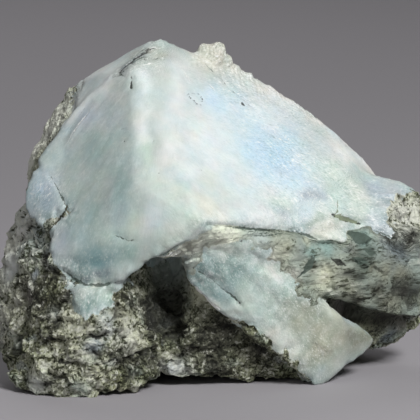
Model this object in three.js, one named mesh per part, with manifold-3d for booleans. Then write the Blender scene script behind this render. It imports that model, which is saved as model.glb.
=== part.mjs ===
import * as THREE from "three";
import { mergeVertices } from "three/addons/utils/BufferGeometryUtils.js";
import Module from "manifold-3d";

// One rough piece of larimar, as it was broken from its vein: a smooth pale crown of pectolite
// over a spur of the same stone, both grown through coarse grey-green volcanic rock.
// Millimetres, +Z up, seen from -Y. It stands on small worn flats at z = 0, with the origin
// under its middle.

// Driving dimensions of the finished stone.
const stoneWidth = 57;
const stoneDepth = 40.5;
const stoneHeight = 43;

// How the surface is drawn.
const sphereCuts = 20; // cuts along each edge of the icosahedron that the surface starts as
const heart = new THREE.Vector3(-7, -1, 22); // the point inside the stone that all rays start from
const reach = 44; // longer than the longest ray
const closeEnough = 0.01;
const evenings = 10; // rounds of spreading the points evenly over the stone
const edgeRound = 0.25; // rounding where two faces of one block meet
const skin = 0.3; // how far a block's faces stand out from its corners' planes
const seamBlend = 0.3; // rounding where two blocks meet
const kindBlend = 0.5; // how gradually smooth pectolite turns into rough rock
const restLevel = 0.3; // everything under this height is worn flat

// Relief: broad waves on the pectolite, rounded lumps and worn ledges on the rock.
const waveLength = 7.5;
const waveHeight = 0.3;
const lumpSize = 3.6;
const lumpHeight = 1.3;
const ledgeSpacing = 2.7;
const ledgeGap = 0.7;
const ledgeDepth = 0.8;
const ledgeDip = 0.12; // fall of the ledges towards +X, as a slope

// The blocks that the stone is broken into: each is the smallest convex solid round its corners.
const blocks = [
  {
    name: "crown",
    rock: false,
    corners: [
      [-10, -4, 40.6], [-6.4, 0, 43.1], [-2.1, 1, 41], [4.1, 4, 38.2], [9.1, 5.6, 35], [14.5, 7, 30.9],
      [18.6, 7.6, 26.6], [20.6, 6, 25.4], [21.1, -1, 22.8], [20.8, -3, 21.2], [17.6, -5.5, 19.5],
      [16.2, -7, 18.6], [9.3, -12, 20.7], [2.2, -17, 22.1], [-1.4, -19.3, 23.8], [-1.6, -19.3, 22.3],
      [-2.9, -18.6, 20.2], [-7.5, -18, 18.4], [-14, -16.4, 18.2], [-18.5, -14.6, 18], [-20.2, -13, 18.6],
      [-9.4, -15.3, 27.2], [-11.8, -3, 39.5], [-17.4, -4, 34], [-16, 4, 18], [2, 0, 20], [14, 6, 18.4],
    ],
  },
  {
    name: "lower lobe",
    rock: false,
    corners: [
      [-20.2, -13, 18.6], [-18.5, -15, 16.2], [-16.6, -16.1, 15.3], [-14.8, -16.6, 15.2],
      [-11.2, -17.1, 15.2], [-9.3, -17.6, 16.9], [-7.5, -18, 18.4], [-9.4, -15.3, 27.2],
      [-11, -4, 18.4], [-18, -4, 18.4],
    ],
  },
  {
    name: "left flank",
    rock: false,
    corners: [
      [-12, -2.6, 39], [-15.6, -3.2, 36], [-17.6, -3.8, 34.1], [-20.2, -4.8, 30.6], [-21.8, -5.6, 28.8],
      [-20.4, -7, 27], [-18.6, -9, 25], [-20.5, -3, 24], [-12, 2, 26], [-15, 1, 35],
    ],
  },
  {
    name: "blue facet",
    rock: false,
    corners: [
      [-20.6, -6.2, 27.3], [-22, -4.4, 26.6], [-22.9, -3.4, 24.8], [-23.2, -3.2, 22.2],
      [-20.8, -8.8, 21], [-18.2, -10.8, 22.6], [-18.5, -9.6, 24.4], [-14, -2, 24],
    ],
  },
  {
    name: "top slab",
    rock: false,
    corners: [
      [-7.6, 0.6, 42.8], [-10.2, 2, 41.3], [-12.9, 4, 39.5], [-15.3, 5, 37.9], [-17.4, 5, 37],
      [-18.2, 4, 34.6], [-14, 0.4, 37.6], [-10, -0.6, 40], [-4, 7, 37], [-10, 8, 32],
    ],
  },
  {
    name: "left crust",
    rock: true,
    corners: [
      [-17.8, 5.4, 36.8], [-19.2, 6, 35.3], [-20.9, 6, 33.3], [-22.3, 6, 31], [-23.7, 5, 28.6],
      [-23.8, 3, 25.6], [-24.1, 0, 23], [-19, -3, 32], [-22, -3.6, 28.2], [-12, 5, 36],
      [-13, 12, 30], [-19, 12, 20], [-16, 2, 20],
    ],
  },
  {
    name: "left shoulder",
    rock: true,
    corners: [
      [-23.8, -0.6, 23], [-25.4, -0.6, 20], [-26.7, -3, 16.8], [-27.4, -4.6, 10], [-23, -6, 21.4],
      [-20.6, -10.4, 20], [-20.2, -13.6, 16.8], [-17, -16.3, 14.8], [-11.4, -17, 14.6],
      [-15, -18.4, 9.6], [-21, -15.6, 10], [-9.4, -17, 12], [-20, 6, 20], [-22, 6, 10], [-12, 0, 16],
    ],
  },
  {
    name: "left foot",
    rock: true,
    corners: [
      [-27.4, -4.6, 10.4], [-27.2, -6, 5], [-25.8, -9.6, 2], [-24.4, -12.6, 1.5], [-21.4, -14, 0.7],
      [-18.6, -14.8, 0], [-15.4, -14.8, 0], [-16.8, -12.4, 0], [-13.6, -15, 1.4], [-10, -14, 2.2],
      [-6.2, -12, 2.5], [-4.8, -10.4, 5.6], [-6.4, -13.2, 7.6], [-7.7, -15.4, 10.2], [-9.2, -17, 12.4],
      [-14, -18.6, 10.4], [-12, -18.2, 6], [-19, -17.6, 5.6], [-22, -15.4, 10.8], [-24, 4, 10],
      [-20, 4, 2], [-10, 4, 8], [-8, -2, 3],
    ],
  },
  {
    name: "spur",
    rock: false,
    corners: [
      [-1.6, -16, 21.2], [-2, -15, 17.9], [-0.8, -14.2, 14.3], [1.1, -13.5, 11.5], [8.2, -11.7, 4.9],
      [12.7, -9.8, 0.8], [14.1, -8.6, 0.2], [14, -5, 0], [11.6, -4.4, 0], [15.4, -7.4, 1.2],
      [17.3, -7, 2.6], [17.3, -8, 8], [17, -8.9, 9.6], [14.9, -10, 10.6], [11.8, -11.4, 12.6],
      [7.6, -12.9, 16.4], [4.4, -14.2, 19.8], [6, -2, 13], [15, 0, 8], [0, -6, 18],
    ],
  },
  {
    name: "heel",
    rock: false,
    corners: [
      [16.6, -8.4, 8.2], [19.2, -6, 7.1], [21.3, -4.6, 5.6], [20.9, -4.4, 4.3], [18.8, -5.8, 3.1],
      [16.6, -6.6, 2.1], [15, -2, 2.6], [16, 2, 7],
    ],
  },
  {
    name: "under rock",
    rock: true,
    corners: [
      [-2.9, -9.4, 15.4], [-3, -9, 12.4], [-3.3, -9, 10], [-4.8, -10, 5.8], [-5, -10.4, 3],
      [-1.6, -9.8, 2.4], [3.4, -8.4, 1.5], [8.9, -7.4, 0.7], [11.4, -5.6, 0.6], [8, -8.8, 5.2],
      [3, -11, 9.4], [0.6, -11.6, 11], [-1, -12, 14.6], [0, 4, 16], [-8, 4, 3], [10, 4, 1.4],
      [-9, -4, 6],
    ],
  },
  {
    name: "strata",
    rock: true,
    corners: [
      [3.6, -14.2, 20.6], [9.2, -11.2, 20.2], [12, -9.5, 19.2], [16.2, -6.5, 18], [21.4, -3.4, 19.2],
      [24, -3.6, 18], [27, -1.4, 17.4], [7.6, -12.6, 16.2], [12.4, -11.2, 14.8], [9.6, -12.4, 13.6],
      [17.2, -8.6, 12.2], [21.2, -5.8, 11.7], [23.8, -4.6, 11], [27.6, -2.4, 12.6], [6, 0, 19],
      [26, 6, 18], [24, 4, 12], [10, 0, 12],
    ],
  },
  {
    name: "right facet",
    rock: false,
    corners: [
      [20.6, 4, 25.2], [22.4, 4, 24.7], [24.1, 4, 24.6], [26.2, 3.8, 23.6], [24.8, 0.4, 22.6],
      [23.2, -1.4, 22.2], [23.4, -3.6, 18.6], [21.6, -4.2, 18.9], [20.8, -3, 21.2], [18, 6, 20],
      [25, 7, 17],
    ],
  },
  {
    name: "right lump",
    rock: true,
    corners: [
      [23.4, -1.4, 22.6], [26.2, 3, 23.9], [28.2, 3.4, 22.6], [29.2, 3, 18], [27.6, -1.8, 17.2],
      [24, -4, 17.8], [23.2, -3.2, 20.6], [22, 6, 18], [26, 9, 19],
    ],
  },
  {
    name: "right wing",
    rock: true,
    corners: [
      [14, -8, 12.8], [19, -6.2, 11.6], [24, -4.2, 11.4], [27.4, -2.2, 12.6], [29.3, 2.4, 13.4],
      [29, 4.6, 9], [27.4, 5.4, 4.8], [25, 4, 3.6], [22.6, 2, 2.6], [18.4, -1, 2.8], [22, -1, 7.6],
      [17, -3.6, 8.4], [26.4, 1, 6.4], [14, 4, 12], [18, 10, 4],
    ],
  },
  {
    name: "back",
    rock: true,
    corners: [
      [-12, 6, 37], [-3, 6, 38.4], [6, 8.6, 35.6], [13, 10, 31], [18, 9.6, 26.4], [21, 8.4, 22.4],
      [-18, 9, 29], [-12, 14, 31], [-22.4, 7, 22], [-15, 17, 24], [-2, 18, 29], [6, 18, 26],
      [15, 15.6, 21], [-24, 5.6, 12], [-21, 12.6, 10], [-8, 20.6, 12], [4, 21.2, 9], [16, 17, 8],
      [23, 11, 9], [26, 5, 10], [-21, 7, 2], [-13, 13, 0.8], [-6, 17.6, 0], [8, 17.8, 0], [9, 10, 0],
      [-6, 9, 0], [19, 11, 2.4], [22, 5, 3.4], [-16, -4, 6], [-10, -6, 3.6], [-2, -6, 3], [9, -3, 2.2],
      [0, -5, 14],
    ],
  },
  {
    name: "rim crust",
    rock: false,
    corners: [
      [-1.4, 2, 40.9], [1.8, 2.2, 38.7], [6, 3.2, 35.4], [11, 4.6, 32], [2.8, 5, 39.6], [6.1, 6, 37.6],
      [9.3, 7, 35.8], [12.2, 8, 33.7], [14.7, 8.6, 31.9], [17, 9, 29.5], [19, 9, 27.4], [2, 8, 36],
      [8, 10, 30],
    ],
  },
];

// Round grains of the pale crust that caps the rim.
const beads = [
  { at: [-0.8, 3, 41.4], radius: 1 },
  { at: [0.9, 3.1, 41.6], radius: 1.05 },
  { at: [0.1, 4.2, 40.6], radius: 1.2 },
  { at: [2.1, 3.8, 40], radius: 0.8 },
  { at: [3.2, 4.6, 38.8], radius: 0.8 },
  { at: [4.9, 5.2, 37.8], radius: 0.7 },
];

// The planes [nx, ny, nz, d] round a block: those through three corners with the rest behind.
function planesOf(corners) {
  const points = corners.map((corner) => new THREE.Vector3(...corner));
  const planes = [];
  const plane = new THREE.Plane();
  for (let i = 0; i < points.length; i++) {
    for (let j = i + 1; j < points.length; j++) {
      for (let k = j + 1; k < points.length; k++) {
        plane.setFromCoplanarPoints(points[i], points[j], points[k]);
        if (plane.normal.lengthSq() < 0.5) continue;
        const sides = points.map((p) => plane.distanceToPoint(p));
        const front = Math.max(...sides) > 1e-6;
        const behind = Math.min(...sides) < -1e-6;
        if (front && behind) continue;
        if (front) plane.negate();
        const { x, y, z } = plane.normal;
        const d = plane.constant;
        if (!planes.some((q) => q[0] * x + q[1] * y + q[2] * z > 0.99999)) planes.push([x, y, z, d]);
      }
    }
  }
  return planes;
}

for (const block of blocks) block.planes = planesOf(block.corners);

// How far a point lies outside a block whose edges are rounded.
function outsideBlock(block, p) {
  let sum = 0;
  for (const [x, y, z, d] of block.planes) {
    sum += Math.exp((x * p.x + y * p.y + z * p.z + d) / edgeRound);
  }
  return edgeRound * Math.log(sum) - skin;
}

function outsideBead(bead, p) {
  return Math.hypot(p.x - bead.at[0], p.y - bead.at[1], p.z - bead.at[2]) - bead.radius;
}

// How far a point lies outside the blocks and beads together, and the rock's share of it there.
function outsideStone(p) {
  let near = 0;
  let rock = 0;
  let all = 1e-300;
  for (const block of blocks) {
    const gap = outsideBlock(block, p);
    const weight = Math.exp(-gap / kindBlend);
    near += Math.exp(-gap / seamBlend);
    all += weight;
    if (block.rock) rock += weight;
  }
  for (const bead of beads) near += Math.exp(-outsideBead(bead, p) / seamBlend);
  return { gap: -seamBlend * Math.log(near), rock: rock / all };
}

function fraction(x) {
  return x - Math.floor(x);
}

// A number from 0 to 1 for each cell of a lattice.
function chance(x, y, z, salt) {
  return fraction(Math.sin(x * 12.9898 + y * 78.233 + z * 37.719 + salt * 4.581) * 43758.5453);
}

// Smooth noise from -1 to 1, about one wave to a cell.
function swell(x, y, z, salt) {
  const [i, j, k] = [x, y, z].map(Math.floor);
  const [u, v, w] = [x - i, y - j, z - k].map((t) => t * t * (3 - 2 * t));
  let sum = 0;
  for (let a = 0; a < 2; a++) {
    for (let b = 0; b < 2; b++) {
      for (let c = 0; c < 2; c++) {
        const share = (a ? u : 1 - u) * (b ? v : 1 - v) * (c ? w : 1 - w);
        sum += share * chance(i + a, j + b, k + c, salt);
      }
    }
  }
  return 2 * sum - 1;
}

// Distance, in cells, to the nearest of the points scattered one to a cell.
function scatter(x, y, z, salt) {
  const [i, j, k] = [x, y, z].map(Math.floor);
  let nearest = 9;
  for (let a = i - 1; a < i + 2; a++) {
    for (let b = j - 1; b < j + 2; b++) {
      for (let c = k - 1; c < k + 2; c++) {
        const dx = a + chance(a, b, c, salt) - x;
        const dy = b + chance(a, b, c, salt + 1) - y;
        const dz = c + chance(a, b, c, salt + 2) - z;
        nearest = Math.min(nearest, dx * dx + dy * dy + dz * dz);
      }
    }
  }
  return Math.sqrt(nearest);
}

// How far the finished surface stands out from the smooth blocks at a point.
function relief(p, rock) {
  const wave = swell(p.x / waveLength, p.y / waveLength, (0.5 * p.z) / waveLength, 11);
  const lump = 0.5 - scatter(p.x / lumpSize, p.y / lumpSize, (1.4 * p.z) / lumpSize, 3);
  const level = p.z + ledgeDip * p.x + 1.2 * swell(p.x / 6, p.y / 6, p.z / 6, 23);
  const fromSeam = (fraction(level / ledgeSpacing) - 0.5) * ledgeSpacing;
  const open = Math.max(0, 0.3 + swell(p.x / 4, p.y / 4, p.z / 2, 37));
  const ledge = -ledgeDepth * open * Math.exp(-((fromSeam / ledgeGap) ** 2));
  return (1 - rock) * wave * waveHeight + rock * (lump * lumpHeight + ledge);
}

// Walks in along the ray from outside until it meets the stone, with or without its relief.
function surfacePoint(direction, rough) {
  const p = new THREE.Vector3();
  let r = reach;
  for (let step = 0; step < 90; step++) {
    p.copy(heart).addScaledVector(direction, r);
    const { gap, rock } = outsideStone(p);
    const free = rough ? 0.6 * (gap - relief(p, rock)) : gap;
    if (free < closeEnough) break;
    r -= free;
  }
  return p;
}

// For each point of an indexed geometry, the points that share an edge with it.
function neighboursOf(geometry) {
  const around = Array.from({ length: geometry.getAttribute("position").count }, () => new Set());
  const index = geometry.index.array;
  for (let i = 0; i < index.length; i += 3) {
    const [a, b, c] = index.slice(i, i + 3);
    around[a].add(b).add(c);
    around[b].add(a).add(c);
    around[c].add(a).add(b);
  }
  return around.map((set) => [...set]);
}

// A sphere whose points are drawn in along their rays to the surface of the stone.
function stoneGeometry() {
  const sphere = new THREE.IcosahedronGeometry(1, sphereCuts);
  sphere.deleteAttribute("normal");
  sphere.deleteAttribute("uv");
  const geometry = mergeVertices(sphere, 1e-5);
  const position = geometry.getAttribute("position");
  const neighbours = neighboursOf(geometry);
  let directions = neighbours.map((_, i) => new THREE.Vector3().fromBufferAttribute(position, i));
  for (let round = 0; round < evenings; round++) {
    const points = directions.map((direction) => surfacePoint(direction, false));
    directions = neighbours.map((around) => {
      const middle = new THREE.Vector3();
      for (const n of around) middle.addScaledVector(points[n], 1 / around.length);
      return middle.sub(heart).normalize();
    });
  }
  directions.forEach((direction, i) => {
    const p = surfacePoint(direction, true);
    position.setXYZ(i, p.x, p.y, p.z);
  });
  return geometry;
}

const wasm = await Module();
wasm.setup();

function solidOf(geometry) {
  const mesh = new wasm.Mesh({
    numProp: 3,
    vertProperties: Float32Array.from(geometry.getAttribute("position").array),
    triVerts: Uint32Array.from(geometry.index.array),
  });
  return new wasm.Manifold(mesh);
}

function geometryOf(solid) {
  const mesh = solid.getMesh();
  const geometry = new THREE.BufferGeometry();
  geometry.setAttribute("position", new THREE.BufferAttribute(mesh.vertProperties, 3));
  geometry.setIndex(new THREE.BufferAttribute(mesh.triVerts, 1));
  return geometry;
}

// A slab that takes away everything under the rest level.
function wornAway() {
  const slab = new THREE.BoxGeometry(2 * reach, 2 * reach, reach);
  slab.translate(0, 0, restLevel - reach / 2);
  slab.deleteAttribute("normal");
  slab.deleteAttribute("uv");
  return mergeVertices(slab, 1e-5);
}

// Brings a geometry to the finished size, standing on z = 0 with its middle over the origin.
function fitToSize(geometry) {
  geometry.computeBoundingBox();
  const { min, max } = geometry.boundingBox;
  geometry.translate(-(min.x + max.x) / 2, -(min.y + max.y) / 2, -min.z);
  geometry.scale(
    stoneWidth / (max.x - min.x),
    stoneDepth / (max.y - min.y),
    stoneHeight / (max.z - min.z),
  );
  return geometry;
}

const material = new THREE.MeshStandardMaterial({ color: 0xb9cfcf, roughness: 0.55, metalness: 0 });
const cut = solidOf(stoneGeometry()).subtract(solidOf(wornAway()));
const larimar = new THREE.Mesh(fitToSize(geometryOf(cut)), material);
larimar.name = "larimar_stone";

const group = new THREE.Group();
group.add(larimar);

export default group;
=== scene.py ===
import itertools
import math
import bpy
import numpy as np
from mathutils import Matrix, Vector


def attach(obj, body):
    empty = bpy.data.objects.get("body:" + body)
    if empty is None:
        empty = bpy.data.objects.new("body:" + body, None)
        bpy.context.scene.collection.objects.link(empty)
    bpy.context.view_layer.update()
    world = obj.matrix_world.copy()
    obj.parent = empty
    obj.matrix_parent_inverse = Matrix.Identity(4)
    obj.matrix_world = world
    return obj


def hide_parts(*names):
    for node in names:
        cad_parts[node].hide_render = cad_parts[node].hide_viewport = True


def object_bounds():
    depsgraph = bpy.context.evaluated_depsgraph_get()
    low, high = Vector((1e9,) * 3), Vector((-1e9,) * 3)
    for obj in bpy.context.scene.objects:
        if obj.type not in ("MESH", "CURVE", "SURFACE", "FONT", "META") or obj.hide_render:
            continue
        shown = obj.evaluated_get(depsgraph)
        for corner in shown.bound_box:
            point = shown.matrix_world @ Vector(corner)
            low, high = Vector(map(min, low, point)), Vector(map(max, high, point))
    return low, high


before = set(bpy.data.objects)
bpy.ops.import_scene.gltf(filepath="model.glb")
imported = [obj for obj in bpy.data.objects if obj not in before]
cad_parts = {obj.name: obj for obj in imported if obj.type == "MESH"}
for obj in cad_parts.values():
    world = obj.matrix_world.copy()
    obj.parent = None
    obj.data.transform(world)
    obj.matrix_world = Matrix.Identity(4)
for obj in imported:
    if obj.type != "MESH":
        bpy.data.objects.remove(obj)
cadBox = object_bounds()

# A rough piece of larimar: pale blue pectolite grown through coarse grey-green volcanic rock.
# Places on the stone are millimetres in the blocks' own coordinates, +Z up, seen from -Y.
stone = {
    "heart": (-7, -1, 22),  # all rays start from this point inside the stone
    "skin": 0.25,  # how far the block faces stand out from their corners
    "evenings": {16: 24, 32: 16, 64: 10},  # rounds of spreading the points, by cells to a cube's edge
    "fineness": 0.335,  # side of the even squares that the surface is redrawn with
    "edgeRounds": 1,  # rounds of smoothing that wear the edges
    "kindBlend": 0.4,  # how gradually one kind of stone turns into another
    "kindWander": 0.6,  # how far the line between two kinds wanders
    "restLevel": 0.3,  # everything under this height is worn flat
    "tornFrost": 0.45, "crustFrost": 0.7,  # how frosted torn fibres and the crust are
    "smoothSide": 0.1,  # squares that lie less far than this on the rock's side are shaded smooth
    "drawnLow": (-27.4, -19.4, 0.3),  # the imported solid's box in the blocks' coordinates
    "drawnHigh": (29.8, 21, 43.2),
}

# Relief heights and sizes in millimetres.
relief = {
    "waveLength": 7.5, "waveHeight": 0.28,  # broad waves of the pectolite
    "rippleLength": 2.4, "rippleHeight": 0.07,
    "fibreHeight": 0.03, "tornReach": 1.8,  # beside the rock its fibres are torn
    "splinterSize": 1.3, "splinterHeight": 0.16,
    "lumpSize": 4.2, "lumpHeight": 0.6,  # rounded lumps of the rock
    "ledgeSpacing": 3.3, "ledgeGap": 0.3, "ledgeDepth": 0.16, "ledgeDip": 0.12,
    "boulderSize": 3, "boulderHeight": 0.36, "boulderTilt": 0.37, "boulderGap": 0.4,
    "shardSize": 1.5, "shardHeight": 0.18, "shardTilt": 0.3, "shardGap": 0.08,
    "crystalSize": 0.8, "crystalHeight": 0.14,
    "gritSize": 0.5, "gritHeight": 0.08, "jag": 0.05,  # fine grit, and the unevenness of every point
    "bedSpacing": 1.3, "bedGap": 0.2, "bedDepth": 0.16,  # thin lines between the strata
    "boulderStretch": (1.25, 1.15, 0.85), "shardStretch": (1.2, 1.1, 0.9),  # flatter than they are wide
    "grainStretch": (0.4, 0.45, 1.5),  # the strata's grain is drawn out along the layers
    "driftLength": 1.4, "driftReach": 0.35,  # unevenness of the flakes' outlines
    "sunken": 0.2,  # how far the rock lies behind the blocks' faces
    "fanWidth": 20, "fanStretch": 0.16,  # how wide the fibres fan out, and how they change on their way
    "flakeGap": 0.26,  # how wide the gaps between flakes are
    "speckDepth": 0.08, "markReach": 1.2, "markSide": 0.3,  # how far marks reach, and their sides
}

# The blocks that the stone is broken into: each is the smallest convex solid round its corners. A lead
# carries a block's kind that far beyond its faces.
blocks = [
    {"name": "crown", "kind": "pectolite", "corners": [
        (-10, -4, 40.6), (-6.4, 0, 43.1), (-2.1, 1, 41), (2.5, 4.4, 39), (6.1, 5.4, 36.9), (9.2, 6, 35.1),
        (11.9, 6.6, 33.2), (14.6, 7.2, 31.3), (16.7, 7.8, 29.3), (18.7, 8, 27.3), (20.5, 7.6, 25.9),
        (22, 6, 24.2), (21.2, -1, 22.8), (20.8, -3, 21.2), (17.6, -5.5, 19.5), (16.2, -7, 18.6),
        (9.3, -12, 20.7), (2.2, -16.8, 22.1), (-1.4, -19.3, 23.4), (-1.6, -19.3, 22.6), (-2.9, -19, 21),
        (-5, -18.5, 19.7), (-7.5, -18.1, 18.5), (-14, -16.4, 18.2), (-18.5, -14.6, 18),
        (-20.2, -13, 18.6), (-9.4, -15.3, 27.2), (-11.8, -3, 39.5), (-17.3, -3.6, 34.3), (-16, 4, 18),
        (2, 0, 20), (14, 6, 18.4)]},
    {"name": "lower lobe", "kind": "pectolite", "corners": [
        (-20.2, -13, 18.6), (-18.5, -15, 16.2), (-16.6, -16.1, 15.3), (-14.8, -16.6, 15.2),
        (-11.2, -17.1, 15.2), (-9.3, -17.6, 16.9), (-7.5, -18, 18.4), (-9.4, -15.3, 27.2),
        (-11, -4, 18.4), (-18, -4, 18.4)]},
    {"name": "left flank", "kind": "pectolite", "corners": [
        (-12, -2.6, 39), (-15.7, -2.8, 36.2), (-17.5, -3.4, 34.3), (-20.1, -4.4, 30.7),
        (-21.7, -5.2, 28.6), (-20.6, -7, 27), (-18.6, -9.2, 25), (-20.5, -3, 24), (-12, 2, 26),
        (-15, 1, 35)]},
    {"name": "blue facet", "kind": "pectolite", "corners": [
        (-20.6, -6.7, 27.3), (-22.4, -5.5, 27.2), (-23.3, -6.2, 24.8), (-23.4, -7.8, 22.2),
        (-21, -10.9, 20.8), (-18.2, -12, 22.2), (-18.5, -10.3, 24.4), (-14, -2, 24)]},
    {"name": "top slab", "kind": "pectolite", "corners": [
        (-7.6, 0.6, 42.7), (-10.2, 2, 41), (-12.9, 4, 39.2), (-15.3, 5, 37.7), (-17.4, 5, 36.9),
        (-17.8, 4, 34.6), (-16.8, -3.4, 34), (-11.8, -3, 39.4), (-10, -3.6, 40.5), (-4, 7, 37),
        (-10, 8, 32)]},
    {"name": "left crust", "kind": "rock", "corners": [
        (-16.2, 5.4, 37.4), (-17.5, 5.4, 36.6), (-18.8, 6, 35.1), (-20.3, 6, 33), (-21.7, 6, 30.7),
        (-23.1, 5, 28.4), (-23.4, 3, 25.6), (-24, 0, 23), (-19, -3, 32), (-22, -3.6, 28.2), (-12, 5, 36),
        (-13, 12, 30), (-19, 12, 20), (-16, 2, 20)]},
    {"name": "left shoulder", "kind": "rock", "corners": [
        (-23.8, -0.6, 23), (-25.4, -0.6, 20), (-26.7, -3, 16.8), (-27.4, -4.6, 10), (-23, -6, 21.4),
        (-20.6, -10.4, 20), (-20.2, -13.6, 16.8), (-17, -16.3, 14.8), (-11.4, -17, 14.6),
        (-15, -18.4, 9.6), (-21, -15.6, 10), (-10, -16.6, 12), (-20, 6, 20), (-22, 6, 10), (-12, 0, 16)]},
    {"name": "left foot", "kind": "rock", "corners": [
        (-27.4, -4.6, 10.4), (-27.2, -6, 5), (-25.8, -10.4, 1.8), (-24.6, -13.4, 1.2),
        (-21.6, -15.2, 0.5), (-19, -16.2, 0), (-15.4, -16.4, 0), (-16.8, -12.4, 0), (-13.6, -16, 1.2),
        (-10, -14.6, 1.9), (-6.4, -12.4, 1.9), (-4.8, -10.4, 5.6), (-7.6, -13.2, 7.4), (-9, -15.2, 10.2),
        (-10.2, -16.6, 12.2), (-14, -18.6, 10.4), (-12, -18.2, 6), (-19, -17.6, 5.6), (-22, -15.4, 10.8),
        (-24, 4, 10), (-20, 4, 2), (-10, 4, 8), (-8, -2, 3)]},
    {"name": "spur", "kind": "pectolite", "corners": [
        (-1.6, -16.6, 21.2), (-3.2, -15.4, 17.8), (-2.6, -14.6, 15), (0.3, -13.8, 11.8), (9, -11.6, 4.9),
        (12.7, -9.8, 0.8), (14.1, -8.6, 0.2), (14, -5, 0), (11.6, -4.4, 0), (15.4, -7.4, 1.2),
        (17.3, -7, 2.6), (17.3, -8, 7.8), (16.7, -8.9, 8.9), (14.5, -10, 10), (11.6, -11.4, 12.3),
        (7.6, -13.4, 16.4), (4.4, -14.9, 19.6), (6, -2, 13), (15, 0, 8), (0, -6, 18)]},
    {"name": "heel", "kind": "pectolite", "corners": [
        (16.6, -8.4, 8.2), (19.2, -6, 7.1), (21.3, -4.6, 5.6), (20.9, -4.4, 4.3), (18.8, -5.8, 3.1),
        (16.6, -6.6, 2.1), (15, -2, 2.6), (16, 2, 7)]},
    {"name": "under rock", "kind": "rock", "corners": [
        (-2.9, -9.4, 15.4), (-3, -9, 12.4), (-3.3, -9, 10), (-4.8, -10, 5.8), (-5.4, -10.8, 1.7),
        (-1.6, -10.2, 1.6), (3.4, -8.8, 1.1), (8.9, -7.6, 0.5), (11.4, -5.6, 0.6), (8, -8.8, 5.2),
        (3, -11, 9.4), (0.6, -11.6, 11), (-1, -12, 14.6), (0, 4, 16), (-8, 4, 3), (10, 4, 1.4),
        (-9, -4, 6)]},
    {"name": "strata", "kind": "strata", "corners": [
        (3.6, -14.2, 20.6), (9.2, -11.2, 20.2), (12, -9.5, 19.2), (16.2, -6.5, 18), (21.4, -3.4, 19.2),
        (24, -3.6, 18), (27, -1.4, 17.4), (7.6, -12.6, 16.2), (12.4, -11.2, 14.8), (9.6, -12.4, 13.6),
        (17.2, -8.6, 12.2), (21.2, -5.4, 10), (24, -3.6, 8.2), (27.4, -1.4, 7.8), (6, 0, 19), (26, 6, 18),
        (24, 4, 12), (10, 0, 12)]},
    {"name": "ledge", "kind": "strata", "lead": 0.3, "corners": [
        (-0.4, -17.7, 22), (2.2, -16.6, 21.8), (5.9, -14.3, 21), (9.3, -12, 20.3), (12.8, -9.9, 19.1),
        (16.2, -7.2, 18), (-0.8, -15.4, 18.8), (2.2, -14.6, 17.4), (5.4, -13.7, 16.8), (8.2, -12.8, 16),
        (11, -12, 15.8), (14.5, -10, 16), (17, -8.4, 15.8), (2, -8, 19), (14, 0, 18), (10, -4, 14)]},
    {"name": "right facet", "kind": "pectolite", "corners": [
        (20.6, 4, 25.2), (22.4, 4, 24.7), (24.1, 4, 24.6), (26.2, 3.8, 23.6), (24.8, 0.4, 22.6),
        (23.2, -1.4, 22.2), (23.4, -3.6, 18.6), (21.6, -4.2, 18.9), (20.8, -3, 21.2), (18, 6, 20),
        (25, 7, 17)]},
    {"name": "right lump", "kind": "rock", "corners": [
        (23.9, -1.2, 22.6), (26.2, 3, 23.9), (28.2, 3.4, 22.6), (29.2, 3, 18), (27.6, -1.8, 17.2),
        (24.2, -3.9, 17.8), (23.5, -3.2, 20.6), (22.6, 6, 18), (26, 9, 19)]},
    {"name": "right wing", "kind": "rock", "corners": [
        (14, -7.6, 12.8), (19, -5.6, 11.6), (24, -3, 9.4), (27.4, -1.2, 9), (29.3, 2.4, 13.4),
        (29, 4.6, 9), (27.4, 5.4, 4.8), (25, 4, 3.6), (22.6, 2, 2.6), (18.4, -1, 2.8), (22, -1, 7.6),
        (17, -3.6, 8.4), (26.4, 1, 6.4), (14, 4, 12), (18, 10, 4)]},
    {"name": "back", "kind": "rock", "corners": [
        (-12, 6, 37), (-3, 6, 38.4), (6, 8.6, 35.6), (13, 10, 31), (18, 9.6, 26.4), (21, 8.4, 22.4),
        (-18, 9, 29), (-12, 14, 31), (-22.4, 7, 22), (-15, 17, 24), (-2, 18, 29), (6, 18, 26),
        (15, 15.6, 21), (-24, 5.6, 12), (-21, 12.6, 10), (-8, 20.6, 12), (4, 21.2, 9), (16, 17, 8),
        (23, 11, 9), (26, 5, 10), (-21, 7, 2), (-13, 13, 0.8), (-6, 17.6, 0), (8, 17.8, 0), (9, 10, 0),
        (-6, 9, 0), (19, 11, 2.4), (22, 5, 3.4), (-16, -4, 6), (-10, -6, 3.6), (-2, -6, 3), (9, -3, 2.2),
        (0, -5, 14)]},
    {"name": "rim crust", "kind": "crust", "corners": [
        (-1.4, 2, 40.9), (1.8, 2.2, 38.5), (6, 3.2, 35.1), (11, 4.6, 31.6), (2.6, 5, 39.2),
        (5.7, 6, 37.2), (8.9, 7, 35.3), (11.8, 8, 33.2), (14.3, 8.6, 31.4), (16.6, 9, 29),
        (18.6, 9, 26.9), (2, 8, 36), (8, 10, 30)]},
    {"name": "teal patch", "kind": "pectolite", "lead": 0.5, "corners": [
        (-17.2, -16.8, 14.2), (-13.8, -17.6, 14.4), (-13.4, -17.8, 12.9), (-14.6, -18.1, 12),
        (-15.8, -18, 11.4), (-17, -17.3, 12.9), (-16, -13, 13), (-14, -13, 13)]},
    {"name": "silver wedge", "kind": "pectolite", "lead": 0.6, "corners": [
        (-12.6, -17.4, 15), (-9.9, -18, 16.9), (-10.4, -17.2, 15.8), (-12.4, -17.5, 14.6),
        (-11.5, -13, 15.4)]},
]

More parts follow.
